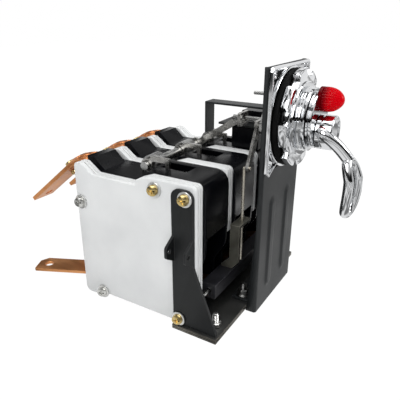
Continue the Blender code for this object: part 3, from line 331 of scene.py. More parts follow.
grey_moulding = finish(
    "grey_moulding", deep=(0.56, 0.57, 0.575), pale=(0.63, 0.64, 0.64), metallic=0.0, smooth=0.38,
    rough=0.5, patch=25.0, grain=1400.0, lift=0.1, edge_wear_and_highlight=(0.78, 0.78, 0.77))
PLATE_FOOT = 14.5 * MM
PLATE_LAND = 45.0 * MM
PLATE_STEP = 11.2 * MM
STEP_RISE = 4.6 * MM
LOW_DROP = 8.7 * MM
HUMP_LENGTH = 8.5 * MM
HUMP_SLOPE = 12.0 * MM
NOTCH_DEPTH = 52.0 * MM
NOTCH_TOP = 70.0 * MM
NOTCH_RISE = 12.0 * MM
rail_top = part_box("base_rail")[1].z + 0.3 * MM
plate_low, plate_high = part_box("pole_plate_1")
rear, top = plate_high.y, plate_high.z
low_top = top - LOW_DROP
FOOT_BACK = 1.5 * MM
FOOT_R = 5.0 * MM
TOP_R = 4.0 * MM
SLOPE_R = 2.0 * MM
STEP_R = 1.0 * MM
NOTCH_R = 6.0 * MM
NOTCH_LIP_R = 1.5 * MM
edge = [(rear - PLATE_FOOT - FOOT_BACK, rail_top), (rear - PLATE_FOOT, plate_low.z),
        (rear, plate_low.z, FOOT_R), (rear, top, TOP_R), (rear - HUMP_LENGTH, top, SLOPE_R),
        (rear - HUMP_LENGTH - HUMP_SLOPE, low_top, SLOPE_R), (PLATE_LAND + PLATE_STEP, low_top),
        (PLATE_LAND + PLATE_STEP, low_top + STEP_RISE, STEP_R), (PLATE_LAND, top, SLOPE_R), (0.0, top, TOP_R)]
whole_front = [(0.0, rail_top, SLOPE_R)]
notched_front = [(0.0, NOTCH_TOP, NOTCH_LIP_R), (NOTCH_DEPTH, NOTCH_TOP + NOTCH_RISE, NOTCH_R),
                 (NOTCH_DEPTH, rail_top)]
PLATE_T = 11.5
GROOVE_FLANK = 0.15
GROOVE_FLOOR = 0.8
GROOVE_DEPTH = 1.0
steps = [(0.0, 0.7), (0.25, 0.25), (0.7, 0.0)]
for groove in (4.0, 7.2):
    steps += [(groove, 0.0), (groove + GROOVE_FLANK, GROOVE_DEPTH),
              (groove + GROOVE_FLANK + GROOVE_FLOOR, GROOVE_DEPTH),
              (groove + 2 * GROOVE_FLANK + GROOVE_FLOOR, 0.0)]
steps += [(PLATE_T - 0.7, 0.0), (PLATE_T - 0.25, 0.25), (PLATE_T, 0.7)]
for i in range(4):
    name = f"pole_plate_{i + 1}"
    low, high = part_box(name)
    outer = i in (0, 3)
    outline = rounded(edge + (whole_front if outer else notched_front))
    levels = [(low.x + x * MM, depth * MM) for x, depth in steps]
    if i == 3:
        levels = [(high.x - x * MM, depth * MM) for x, depth in steps]
    piece(name + "_skin", layered("X", outline, levels), grey_moulding, "frame", (name,))

# Pole housings: black glossy mouldings that hold the fixed contacts and arc chambers, open in front.
# A brass contact pad shows at the bottom of each top slot.
black_moulding = finish(
    "black_moulding", deep=(0.0008, 0.0009, 0.0016), pale=(0.002, 0.0022, 0.0032), metallic=0.0,
    smooth=0.2, rough=0.3, patch=45.0, grain=900.0, lift=0.04, edge_wear_and_highlight=(0.014, 0.015, 0.018), gleam=0.15)
pad_brass = finish(
    "pad_brass", deep=(0.6, 0.42, 0.14), pale=(0.74, 0.56, 0.22), metallic=1.0, smooth=0.22, rough=0.34,
    patch=300.0, grain=2500.0, lift=0.1)


def block(low, high):
    """A plain block between two corners."""
    shape = bmesh.new()
    bmesh.ops.create_cube(shape, size=1.0)
    for corner in shape.verts:
        corner.co = Vector([a + (b - a) * (c + 0.5) for a, b, c in zip(low, high, corner.co)])
    return shape


PAD_SIDE = 1.0 * MM
PAD_WIDTH = 7.0 * MM
PAD_FRONT = 28.0 * MM
PAD_LENGTH = 5.0 * MM
PAD_DEEP = 17.0 * MM
PAD_HEIGHT = 8.0 * MM
for i in range(3):
    name = f"pole_housing_{i + 1}"
    dress(name, black_moulding, 0.5 * MM)
    low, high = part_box(name)
    middle = (low.x + high.x) / 2
    pad = block((middle + PAD_SIDE, PAD_FRONT, top - PAD_DEEP),
                (middle + PAD_SIDE + PAD_WIDTH, PAD_FRONT + PAD_LENGTH, top - PAD_DEEP + PAD_HEIGHT))
    piece(f"contact_pad_{i + 1}", pad, pad_brass, ease=0.6 * MM)

# Copper terminals: upper tails of braided strand pressed solid into a flat palm, lower bars of flat strip.
copper_strip = finish(
    "copper_strip", deep=(0.6, 0.23, 0.075), pale=(0.86, 0.42, 0.18), metallic=1.0, smooth=0.26,
    rough=0.42, patch=90.0, grain=1200.0, lift=0.15, edge_wear_and_highlight=(0.95, 0.62, 0.4), stretch=(1.0, 0.3, 1.0))
copper_strand = finish(
    "copper_strand", deep=(0.36, 0.12, 0.04), pale=(0.7, 0.3, 0.12), metallic=1.0, smooth=0.28,
    rough=0.46, patch=400.0, grain=3000.0, lift=0.1)
screw_brass = finish(
    "screw_brass", deep=(0.5, 0.37, 0.13), pale=(0.74, 0.58, 0.28), metallic=1.0, smooth=0.16, rough=0.28,
    patch=220.0, grain=2600.0, lift=0.06)
STRANDS = 18
STRAND_R = 1.0 * MM
BRAID_HALF = 11.3 * MM
BRAID_T = 3.9 * MM
BRAID_TURNS = 1.2
WEAVE_LIFT = 0.12
BRAID_RUN = ((119.0, 123.5), (124.0, 124.0), (131.0, 123.2), (140.0, 121.0), (148.0, 116.5), (155.0, 111.0))
for i in range(3):
    name = f"upper_terminal_{i + 1}"
    dress(name, copper_strip, 0.5 * MM)
    dress(f"lower_terminal_{i + 1}", copper_strip, 0.5 * MM)
    dress(f"terminal_bolt_{i + 1}", screw_brass, 0.3 * MM)
    low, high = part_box(name)
    middle = (low.x + high.x) / 2
    line = [Vector((0.0, y * MM, z * MM)) for y, z in BRAID_RUN]
    run = []
    for k in range(len(line) - 1):
        run += [line[k].lerp(line[k + 1], t / 8) for t in range(8)]
    run.append(line[-1])
    braid = bpy.data.curves.new(f"copper_braid_{i + 1}", "CURVE")
    braid.dimensions = "3D"
    braid.bevel_depth = STRAND_R
    braid.bevel_resolution = 1
    for strand in range(2 * STRANDS):
        hand = 1.0 if strand % 2 else -1.0
        spline = braid.splines.new("POLY")
        spline.points.add(len(run) - 1)
        for k, spot in enumerate(run):
            along = (run[min(k + 1, len(run) - 1)] - run[max(k - 1, 0)]).normalized()
            lift = Vector((0.0, -along.z, along.y))
            turn = 2 * math.pi * ((strand // 2) / STRANDS + hand * BRAID_TURNS * k / len(run))
            weave = 1.0 + WEAVE_LIFT * hand * math.cos(turn * STRANDS / 2)
            taper = 1.0 - 0.35 * max(0.0, k / len(run) - 0.75) * 4
            offset = Vector((math.cos(turn) * BRAID_HALF, 0.0, 0.0))
            offset += lift * math.sin(turn) * BRAID_T * weave * taper
            spline.points[k].co = (*(spot + offset + Vector((middle, 0.0, 0.0))), 1.0)
    bundle = bpy.data.objects.new(braid.name, braid)
    scene.collection.objects.link(bundle)
    bpy.context.view_layer.update()
    woven = bpy.data.meshes.new_from_object(bundle.evaluated_get(bpy.context.evaluated_depsgraph_get()))
    bpy.data.objects.remove(bundle)
    piece(f"copper_braid_{i + 1}", woven, copper_strand)

# Straps: black coated steel uprights on the outer plates, the near one with two pierced ears bent outward.
strap_coat = finish(
    "strap_coat", deep=(0.007, 0.0078, 0.0082), pale=(0.012, 0.0132, 0.0138), metallic=0.0, smooth=0.38,
    rough=0.52, patch=50.0, grain=1700.0, lift=0.14, edge_wear_and_highlight=(0.06, 0.06, 0.06), gleam=0.25)
dress("strap_near", strap_coat, 0.35 * MM)
dress("strap_far", strap_coat, 0.35 * MM)

# Tie bolts: five through bolts that clamp the stack, pan heads with a cross recess on flat washers.
# The three on the strap line are yellow passivated, the rear and foot ones plain zinc.


def plan(name, sizes):
    """Open a geometry tree that takes points, named sizes and a finish."""
    tree = bpy.data.node_groups.new(name, "GeometryNodeTree")
    tree.interface.new_socket("Points", in_out="INPUT", socket_type="NodeSocketGeometry")
    for label in sizes:
        tree.interface.new_socket(label, in_out="INPUT", socket_type="NodeSocketFloat")
    tree.interface.new_socket("Finish", in_out="INPUT", socket_type="NodeSocketMaterial")
    tree.interface.new_socket("Made", in_out="OUTPUT", socket_type="NodeSocketGeometry")
    return tree, tree.nodes.new("NodeGroupInput").outputs


def close(tree, geometry, coat):
    """End a tree with real geometry that carries its finish."""
    real = put(tree, "GeometryNodeRealizeInstances", {"Geometry": geometry}).outputs[0]
    coated = put(tree, "GeometryNodeSetMaterial", {"Geometry": real, "Material": coat}).outputs[0]
    put(tree, "NodeGroupOutput", {0: coated})


def grow(tree, points, values):
    """Run a tree on a handful of points and keep what it makes as a plain mesh."""
    seed = bpy.data.meshes.new(tree.name)
    seed.from_pydata([tuple(point) for point in points], [], [])
    carrier = bpy.data.objects.new(tree.name, seed)
    scene.collection.objects.link(carrier)
    modifier = carrier.modifiers.new("grow", "NODES")
    modifier.node_group = tree
    for item in tree.interface.items_tree:
        if item.in_out == "INPUT" and item.name in values:
            modifier[item.identifier] = values[item.name]
    bpy.context.view_layer.update()
    made = bpy.data.meshes.new_from_object(carrier.evaluated_get(bpy.context.evaluated_depsgraph_get()))
    bpy.data.objects.remove(carrier)
    return made


heads, size = plan("cross_recess_heads", ("Radius", "Height", "Crown", "Slot Width", "Slot Length",
                                          "Slot Depth"))
drum = put(heads, "GeometryNodeMeshCylinder", {"Vertices": 28, "Fill Segments": 4, "Radius": size["Radius"],
                                               "Depth": size["Height"]}).outputs["Mesh"]
spot = put(heads, "ShaderNodeSeparateXYZ", {0: put(heads, "GeometryNodeInputPosition").outputs[0]}).outputs
squares = [put(heads, "ShaderNodeMath", {0: spot[k], 1: spot[k]}, operation="MULTIPLY").outputs[0]
           for k in (0, 1)]
spread = put(heads, "ShaderNodeMath", {0: squares[0], 1: squares[1]}, operation="ADD").outputs[0]
reach = put(heads, "ShaderNodeMath", {0: size["Radius"], 1: 2.0}, operation="POWER").outputs[0]
fall = put(heads, "ShaderNodeMath", {0: spread, 1: reach}, operation="DIVIDE").outputs[0]
fall = put(heads, "ShaderNodeMath", {0: fall, 1: size["Crown"]}, operation="MULTIPLY").outputs[0]
fall = put(heads, "ShaderNodeMath", {0: fall, 1: -1.0}, operation="MULTIPLY").outputs[0]
upper = put(heads, "FunctionNodeCompare", {0: spot[2], 1: 0.0}, operation="GREATER_THAN").outputs[0]
crowned = put(heads, "GeometryNodeSetPosition", {
    "Geometry": drum, "Selection": upper,
    "Offset": put(heads, "ShaderNodeCombineXYZ", {2: fall}).outputs[0]}).outputs[0]
blades = []
for k in (0, 1):
    lengths = ("Slot Length", "Slot Width") if k == 0 else ("Slot Width", "Slot Length")
    bulk = put(heads, "ShaderNodeCombineXYZ", {0: size[lengths[0]], 1: size[lengths[1]],
                                               2: size["Slot Depth"]})
    blade = put(heads, "GeometryNodeMeshCube", {"Size": bulk.outputs[0]}).outputs["Mesh"]
    rise = put(heads, "ShaderNodeMath", {0: size["Height"], 1: 0.5}, operation="MULTIPLY").outputs[0]
    rise = put(heads, "ShaderNodeCombineXYZ", {2: rise}).outputs[0]
    blades.append(put(heads, "GeometryNodeTransform", {"Geometry": blade, "Translation": rise}).outputs[0])
cut = crowned
for blade in blades:
    cut = put(heads, "GeometryNodeMeshBoolean", {0: cut, 1: blade}, operation="DIFFERENCE").outputs[0]
placed = put(heads, "GeometryNodeInstanceOnPoints", {"Points": size["Points"], "Instance": cut,
                                                     "Rotation": (0.35, -math.pi / 2, 0.0)}).outputs[0]
close(heads, placed, size["Finish"])

rings, size = plan("flat_washers", ("Outer", "Inner", "Thickness", "Edge"))
middle = put(rings, "ShaderNodeMath", {0: size["Outer"], 1: size["Inner"]}, operation="ADD").outputs[0]
middle = put(rings, "ShaderNodeMath", {0: middle, 1: 0.5}, operation="MULTIPLY").outputs[0]
width = put(rings, "ShaderNodeMath", {0: size["Outer"], 1: size["Inner"]}, operation="SUBTRACT").outputs[0]
path = put(rings, "GeometryNodeCurvePrimitiveCircle", {"Resolution": 40, "Radius": middle}).outputs[0]
section = put(rings, "GeometryNodeCurvePrimitiveQuadrilateral", {"Width": width, "Height": size["Thickness"]})
section = put(rings, "GeometryNodeFilletCurve", {"Curve": section.outputs[0], "Radius": size["Edge"]},
              mode="POLY")
section.inputs["Count"].default_value = 2
ring = put(rings, "GeometryNodeCurveToMesh", {"Curve": path, "Profile Curve": section.outputs[0]}).outputs[0]
placed = put(rings, "GeometryNodeInstanceOnPoints", {"Points": size["Points"], "Instance": ring,
                                                     "Rotation": (0.0, -math.pi / 2, 0.0)}).outputs[0]
close(rings, placed, size["Finish"])

screw_zinc = finish(
    "screw_zinc", deep=(0.55, 0.55, 0.53), pale=(0.76, 0.76, 0.73), metallic=1.0, smooth=0.2, rough=0.34,
    patch=200.0, grain=2600.0, lift=0.12)
washer_zinc = finish(
    "washer_zinc", deep=(0.66, 0.66, 0.64), pale=(0.84, 0.84, 0.82), metallic=1.0, smooth=0.26, rough=0.4,
    patch=200.0, grain=2600.0, lift=0.1)
HEAD_T = 3.2 * MM
WASHER_T = 1.5 * MM
WASHER_R = 6.25 * MM
NUT_T = 5.0 * MM
STUD_TIP = 3.0 * MM
head_points = {"brass": [], "steel": []}
washer_points = []
for name in ("rear", "middle", "upper", "lower", "foot"):
    low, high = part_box("tie_bolt_" + name)
    y, z = (low.y + high.y) / 2, (low.z + high.z) / 2
    kind = "steel" if name in ("rear", "foot") else "brass"
    head_points[kind].append((low.x + HEAD_T / 2, y, z))
    washer_points += [(low.x + HEAD_T + WASHER_T / 2, y, z),
                      (high.x - STUD_TIP - NUT_T - WASHER_T / 2, y, z)]
head_sizes = {"Radius": 4.4 * MM, "Height": HEAD_T, "Crown": 1.0 * MM, "Slot Width": 1.2 * MM,
              "Slot Length": 5.0 * MM, "Slot Depth": 3.6 * MM}
brass_heads = grow(heads, head_points["brass"], {**head_sizes, "Finish": screw_brass})
piece("tie_heads_brass", brass_heads, screw_brass, "frame",
      ("tie_bolt_middle", "tie_bolt_upper", "tie_bolt_lower"))
zinc_heads = grow(heads, head_points["steel"], {**head_sizes, "Finish": screw_zinc})
piece("tie_heads_zinc", zinc_heads, screw_zinc, "frame", ("tie_bolt_rear", "tie_bolt_foot"))
washers = grow(rings, washer_points, {"Outer": WASHER_R, "Inner": 3.0 * MM, "Thickness": WASHER_T,
                                      "Edge": 0.4 * MM, "Finish": washer_zinc})
piece("tie_washers", washers, washer_zinc)

# Front panel: charcoal coated sheet steel with bent side lips, a foot on the rail and two pressed ribs.
panel_coat = finish(
    "panel_coat", deep=(0.0115, 0.013, 0.0137), pale=(0.019, 0.021, 0.022), metallic=0.0, smooth=0.36,
    rough=0.5, patch=22.0, grain=1600.0, lift=0.12, edge_wear_and_highlight=(0.08, 0.085, 0.09), gleam=0.25)
PANEL_T = 2.5 * MM
RIB_RISE = 1.5 * MM
BEND_R = 2.5 * MM
RIB_HALF = 6.5 * MM
RIB_SPREAD = 34.5 * MM
RIB_LOW, RIB_HIGH = 17.0 * MM, 104.0 * MM
RIB_SOFT = 3.0 * MM
low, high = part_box("front_panel")
panel_left, panel_right, panel_top = low.x, high.x, high.z
panel_x = (low.x + high.x) / 2
panel_front = low.y + RIB_RISE
panel_back = panel_front + PANEL_T
LIP_DEPTH = 1.0 * MM
LIP_RISE = 110.0 * MM
lip_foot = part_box("base_rail")[0].y - 0.6 * MM


def rib_lift(x, z):
    """How far the sheet stands out at a spot: two long pads with soft flanks and round ends."""
    best = 0.0
    for middle in (panel_x - RIB_SPREAD / 2, panel_x + RIB_SPREAD / 2):
        clamp = min(max(z, RIB_LOW + RIB_HALF), RIB_HIGH - RIB_HALF)
        depth = RIB_HALF - math.hypot(x - middle, z - clamp)
        share = min(1.0, max(0.0, depth / RIB_SOFT))
        best = max(best, share * share * (3 - 2 * share))
    return best * RIB_RISE


arc = [math.pi / 2 * k / 5 for k in range(6)]
section = [(panel_left, panel_back)]
section += [(panel_left + BEND_R * (1 - math.cos(t)), panel_front + BEND_R * (1 - math.sin(t))) for t in arc]
count = 64
span = panel_right - panel_left - 2 * BEND_R
section += [(panel_left + BEND_R + span * k / count, panel_front) for k in range(1, count)]
section += [(panel_right - BEND_R * (1 - math.sin(t)), panel_front + BEND_R * (1 - math.cos(t))) for t in arc]
section += [(panel_right, panel_back)]
rows = 106
skin = bmesh.new()
grid = []
for r in range(rows + 1):
    z = panel_top * r / rows
    taper = lip_foot + (panel_back - MM - lip_foot) * z / LIP_RISE
    lip = max(panel_back + LIP_DEPTH, taper)
    row = [(x, y - (rib_lift(x, z) if y < panel_front + 0.01 * MM else 0.0), z) for x, y in section]
    row = [(panel_left, lip, z)] + row[1:-1] + [(panel_right, lip, z)]
    grid.append([skin.verts.new(spot) for spot in row])
for lower, higher in zip(grid, grid[1:]):
    for k in range(len(section) - 1):
        skin.faces.new((lower[k], lower[k + 1], higher[k + 1], higher[k]))
panel = bpy.data.meshes.new("front_panel_skin")
skin.to_mesh(panel)
skin.free()
sheet_panel = piece("front_panel_skin", panel, panel_coat, "frame", ("front_panel",),
                    crease=50.0)
wall = sheet_panel.modifiers.new("sheet", "SOLIDIFY")
wall.thickness = PANEL_T
wall.offset = -1.0
foot = block((panel_left + 5.0 * MM, panel_back - 0.5 * MM, rail_top),
             (panel_right - 5.0 * MM, -6.0 * MM, rail_top + PANEL_T))
piece("panel_foot", foot, panel_coat, ease=0.4 * MM)

# Small fasteners: a threaded corner stud with its nut, and two flanged nuts on the panel's foot.


def turned(axis, centre, profile, sides=48, wave=None):
    """Turn a profile of (radius, station) about an axis through a point; wave bends the radius."""
    shape = bmesh.new()
    rings = []
    for radius, station in profile:
        ring = []
        for k in range(sides if radius > 0.0 else 1):
            angle = 2 * math.pi * k / sides
            reach = radius * (wave(angle, station) if wave else 1.0)
            a, b = reach * math.cos(angle), reach * math.sin(angle)
            a, b = centre[0] + a, centre[1] + b
            place = {"X": (station, a, b), "Y": (a, station, b), "Z": (a, b, station)}[axis]
            ring.append(shape.verts.new(place))
        rings.append(ring)
    for low_ring, high_ring in zip(rings, rings[1:]):
        for k in range(sides):
            m = (k + 1) % sides
            corners = [low_ring[k % len(low_ring)], low_ring[m % len(low_ring)],
                       high_ring[m % len(high_ring)], high_ring[k % len(high_ring)]]
            shape.faces.new(list(dict.fromkeys(corners)))
    for ring in (rings[0], rings[-1]):
        if len(ring) > 1:
            shape.faces.new(ring)
    return shape


def join(*shapes):
    """Several shapes as one mesh."""
    whole = bmesh.new()
    for shape in shapes:
        bmesh.ops.recalc_face_normals(shape, faces=shape.faces)
        holder = bpy.data.meshes.new("holder")
        shape.to_mesh(holder)
        shape.free()
        whole.from_mesh(holder)
        bpy.data.meshes.remove(holder)
    return whole


thread, size = plan("screw_thread", ("Radius", "Pitch", "Length", "Turns"))
coil = put(thread, "GeometryNodeCurveSpiral", {"Resolution": 40, "Rotations": size["Turns"],
                                               "Start Radius": size["Radius"], "End Radius": size["Radius"],
                                               "Height": size["Length"]}).outputs[0]
coil = put(thread, "GeometryNodeSetCurveNormal", {"Curve": coil}, mode="Z_UP").outputs[0]
half = put(thread, "ShaderNodeMath", {0: size["Pitch"], 1: 0.5}, operation="MULTIPLY").outputs[0]
ridge = put(thread, "GeometryNodeCurvePrimitiveCircle", {"Resolution": 4, "Radius": half}).outputs[0]
wound = put(thread, "GeometryNodeCurveToMesh", {"Curve": coil, "Profile Curve": ridge, "Fill Caps": True})
placed = put(thread, "GeometryNodeInstanceOnPoints", {"Points": size["Points"],
                                                      "Instance": wound.outputs[0]}).outputs[0]
close(thread, placed, size["Finish"])


def threaded(foot, radius, pitch, length, coat, axis="Z"):
    """A wound thread that starts at a point and climbs along an axis."""
    made = grow(thread, [(0.0, 0.0, 0.0)], {"Radius": radius - pitch / 2, "Pitch": pitch, "Length": length,
                                            "Turns": length / pitch, "Finish": coat})
    turn = {"Z": Matrix.Identity(4), "X": Matrix.Rotation(math.pi / 2, 4, "Y"),
            "Y": Matrix.Rotation(-math.pi / 2, 4, "X")}[axis]
    made.transform(Matrix.Translation(foot) @ turn)
    shape = bmesh.new()
    shape.from_mesh(made)
    bpy.data.meshes.remove(made)
    return shape


dark_zinc = finish(
    "dark_zinc", deep=(0.1, 0.1, 0.1), pale=(0.22, 0.22, 0.21), metallic=1.0, smooth=0.28, rough=0.42,
    patch=200.0, grain=2600.0, lift=0.12)
low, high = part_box("corner_stud")
axis = ((low.x + high.x) / 2, (low.y + high.y) / 2)
STUD_R = 2.8 * MM
CORNER_NUT_R = 5.0 * MM
CORNER_NUT_T = 4.0 * MM
stud = join(turned("Z", axis, ((STUD_R - 0.45 * MM, low.z), (STUD_R - 0.45 * MM, high.z - 0.6 * MM),
                               (STUD_R - 1.1 * MM, high.z)), 24),
            threaded((*axis, rail_top), STUD_R, 0.9 * MM, high.z - rail_top - 1.2 * MM, screw_zinc),
            turned("Z", axis, ((CORNER_NUT_R - 0.5 * MM, rail_top), (CORNER_NUT_R, rail_top + 0.4 * MM),
                               (CORNER_NUT_R, rail_top + CORNER_NUT_T - 0.5 * MM),
                               (CORNER_NUT_R - 0.7 * MM, rail_top + CORNER_NUT_T)), 6))
piece("corner_stud_skin", stud, screw_zinc, "frame", ("corner_stud",))
for i in (1, 2):
    low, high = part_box(f"panel_stud_{i}")
    axis = ((low.x + high.x) / 2, (low.y + high.y) / 2)
    seat = rail_top + PANEL_T + 0.3 * MM
    core = turned("Z", axis, ((2.5 * MM, low.z), (2.5 * MM, high.z - 0.6 * MM), (1.9 * MM, high.z)), 20)
    coil = threaded((*axis, seat + 5.0 * MM), 3.0 * MM, 1.0 * MM, high.z - seat - 6.0 * MM, dark_zinc)
    skirt = turned("Z", axis, ((WASHER_R, seat), (WASHER_R, seat + 0.8 * MM), (4.8 * MM, seat + 2.2 * MM)), 40)
    hexagon = turned("Z", axis, ((5.2 * MM, seat + 1.4 * MM), (5.2 * MM, seat + 5.9 * MM),
                                 (4.5 * MM, seat + 6.5 * MM)), 6)
    nut = join(core, coil, skirt, hexagon)
    piece(f"panel_stud_{i}_skin", nut, dark_zinc, "frame", (f"panel_stud_{i}",))

# Panel barrel: a chromed die casting, a square flange with a raised rim and a threaded round barrel.
chrome = finish(
    "chrome", deep=(0.7, 0.71, 0.725), pale=(0.82, 0.83, 0.84), metallic=1.0, smooth=0.04, rough=0.09,
    patch=30.0, grain=500.0, lift=0.02)
low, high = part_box("mount_barrel")
flange_left, flange_right, flange_low, flange_top = low.x, high.x, low.z, high.z
flange_back, barrel_end = high.y, low.y
low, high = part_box("panel_gasket")
flange_front = high.y + 0.3 * MM
barrel_x, barrel_z = (low.x + high.x) / 2, (low.z + high.z) / 2
BARREL_R = 25.6 * MM
CORE_R = 24.0 * MM
COLLAR_R = 40.9 * MM
CORNER_CUT = 5.0 * MM
CORNER_RISE = 4.0 * MM
ARCH_HALF = 22.0 * MM
ARCH_RISE = 7.0 * MM
FINE = 96
arch_z = flange_low + ARCH_RISE
outline = rounded([
    (flange_left, flange_low + CORNER_RISE, 1.5 * MM), (flange_left + CORNER_CUT, flange_low, 2.0 * MM),
    (barrel_x - ARCH_HALF, arch_z, 9.0 * MM), (barrel_x + ARCH_HALF, arch_z, 9.0 * MM),
    (flange_right - CORNER_CUT, flange_low, 2.0 * MM), (flange_right, flange_low + CORNER_RISE, 1.5 * MM),
    (flange_right, flange_top, 4.0 * MM), (flange_left, flange_top, 4.0 * MM)])
levels = [(flange_back, 0.4 * MM), (flange_back - 0.4 * MM, 0.0), (flange_front + 0.9 * MM, 0.0),
          (flange_front + 0.35 * MM, 0.3 * MM), (flange_front, 1.0 * MM),
          (flange_front + 0.05 * MM, 2.1 * MM), (flange_front + 0.8 * MM, 3.0 * MM),
          (flange_front + 1.7 * MM, 3.6 * MM)]
flange = layered("Y", outline, levels)
collar = turned("Y", (barrel_x, barrel_z), (
    (COLLAR_R, flange_front + 1.9 * MM), (COLLAR_R - 0.3 * MM, flange_front + 0.6 * MM),
    (COLLAR_R - 1.1 * MM, flange_front + 0.05 * MM), (COLLAR_R - 2.5 * MM, flange_front),
    (20.0 * MM, flange_front)), FINE)
bosses = []
for side in (-1.0, 1.0):
    for rise in (flange_low + 8.0 * MM, flange_top - 6.0 * MM):
        centre = (barrel_x + side * (flange_right - barrel_x - 6.0 * MM), rise)
        bosses.append(turned("Y", centre, (
            (3.1 * MM, flange_front + 1.9 * MM), (2.9 * MM, flange_front + 0.7 * MM),
            (2.1 * MM, flange_front + 0.4 * MM), (1.5 * MM, flange_front + 1.1 * MM)), 24))
core = turned("Y", (barrel_x, barrel_z), (
    (CORE_R, flange_front + 1.0 * MM), (CORE_R, barrel_end + 2.2 * MM),
    (CORE_R + 1.0 * MM, barrel_end + 1.6 * MM), (CORE_R + 1.0 * MM, barrel_end + 0.6 * MM),
    (CORE_R + 0.2 * MM, barrel_end)), FINE)
ridges = threaded((barrel_x, barrel_end + 2.6 * MM, barrel_z), BARREL_R, 2.0 * MM, 8.0 * MM, chrome, "Y")
key = block((barrel_x - 26.2 * MM, barrel_end + 0.4 * MM, barrel_z - 2.6 * MM),
            (barrel_x - 22.0 * MM, barrel_end + 8.5 * MM, barrel_z + 2.6 * MM))
piece("mount_barrel_skin", join(flange, collar, *bosses, core, ridges, key), chrome, "frame",
      ("mount_barrel",), ease=0.25 * MM, crease=34.0)

# Rubber ring between the flange and the lock nut, and the die-cast lock nut with rounded lugs.
rubber = finish(
    "gasket_rubber", deep=(0.002, 0.002, 0.002), pale=(0.005, 0.005, 0.005), metallic=0.0, smooth=0.5,
    rough=0.7, patch=120.0, grain=1500.0, lift=0.2, gleam=0.05)
low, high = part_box("panel_gasket")
gasket_r = (high.x - low.x) / 2
GASKET_BORE = 24.5 * MM
gasket = turned("Y", (barrel_x, barrel_z), (
    (GASKET_BORE, high.y), (gasket_r - 1.4 * MM, high.y), (gasket_r - 0.4 * MM, high.y - 0.5 * MM),
    (gasket_r, high.y - 1.6 * MM), (gasket_r, low.y + 1.6 * MM), (gasket_r - 0.4 * MM, low.y + 0.5 * MM),
    (gasket_r - 1.4 * MM, low.y), (GASKET_BORE, low.y)), FINE)
piece("panel_gasket_skin", gasket, rubber, "frame", ("panel_gasket",))
LUGS = 8
LUG_DEPTH = 4.5 * MM
low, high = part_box("lock_nut")
lock_r = (high.x - low.x) / 2
lock_outline = []
for k in range(192):
    angle = 2 * math.pi * k / 192
    swing = math.cos(LUGS * (angle - math.radians(11.25)))
    land = min(1.0, max(0.0, (swing + 0.72) / 0.5))
    radius = lock_r - LUG_DEPTH * (1.0 - land * land * (3 - 2 * land))
    lock_outline.append(Vector((barrel_x + radius * math.cos(angle), barrel_z + radius * math.sin(angle))))
nut = layered("Y", lock_outline, [(high.y, 1.0 * MM), (high.y - 0.6 * MM, 0.2 * MM), (high.y - 1.2 * MM, 0.0),
                                  (low.y + 1.4 * MM, 0.0), (low.y + 0.5 * MM, 0.4 * MM), (low.y, 1.4 * MM)])
boss = turned("Y", (barrel_x, barrel_z), ((29.5 * MM, low.y + 0.5 * MM), (29.5 * MM, low.y - 1.2 * MM),
                                          (28.6 * MM, low.y - 2.0 * MM), (25.0 * MM, low.y - 2.0 * MM)), FINE)
piece("lock_nut_skin", join(nut, boss), chrome, "frame", ("lock_nut",))

# Face ring on the barrel's end, stepped like two thin collars, and the chromed handle: a turned hub
# with one bent side arm that runs out into a closed loop for the hand.
low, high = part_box("barrel_face")
face_r = (high.x - low.x) / 2
face = turned("Y", (barrel_x, barrel_z), (
    (face_r - 0.6 * MM, high.y), (face_r, high.y - 0.5 * MM), (face_r, high.y - 1.8 * MM),
    (face_r - 1.6 * MM, high.y - 2.2 * MM), (face_r - 1.6 * MM, high.y - 2.8 * MM),
    (face_r - 0.5 * MM, high.y - 3.1 * MM), (face_r - 0.5 * MM, low.y + 0.6 * MM),
    (face_r - 1.2 * MM, low.y)), FINE)
piece("barrel_face_skin", face, chrome, "frame", ("barrel_face",))
HUB_R = 13.75 * MM
HUB_LENGTH = 13.5 * MM
ARM_R = 4.9 * MM
ARM_OUT = 10.7 * MM
LOOP_R = 4.0 * MM
LOOP_HALF = 7.4 * MM
LOOP_TOP = 20.5 * MM
LOOP_DROP = 65.0 * MM
LOOP_REACH = 29.3 * MM
LOOP_LEAN = 3.3 * MM
LOOP_TURN = math.radians(15.0)
LOOP_FULL = 0.8
LOOP_BOW = 2.5 * MM
low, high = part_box("handle_shaft")
handle_z = (low.z + high.z) / 2
hub_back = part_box("handle")[1].y
hub_front = hub_back - HUB_LENGTH
hub = turned("Y", (barrel_x, handle_z), (
    (HUB_R - 0.8 * MM, hub_back), (HUB_R, hub_back - 0.7 * MM), (HUB_R, hub_back - 3.6 * MM),
    (HUB_R - 1.0 * MM, hub_back - 4.0 * MM), (HUB_R - 1.0 * MM, hub_back - 4.6 * MM),
    (HUB_R, hub_back - 5.0 * MM), (HUB_R, hub_front + 1.6 * MM), (HUB_R - 0.5 * MM, hub_front + 0.5 * MM),
    (HUB_R - 1.4 * MM, hub_front), (HUB_R - 2.6 * MM, hub_front + 0.2 * MM),
    (HUB_R - 3.4 * MM, hub_front + 1.0 * MM)), 72)
top_reach = LOOP_REACH - LOOP_LEAN
turns = [(-ARM_OUT, -4.0 * MM, 2.4 * MM), (-ARM_OUT - 2.2 * MM, -7.1 * MM, 1.6 * MM),
         (0.7 * MM - ARM_OUT, -0.5 * top_reach, -3.1 * MM),
         (-0.46 * ARM_OUT, -0.74 * top_reach, -LOOP_TOP / 2), (0.0, 0.5 * MM - top_reach, MM - LOOP_TOP)]
line = [Vector((barrel_x + x, hub_back + y, handle_z + z)) for x, y, z in turns]
route = [line[0]]
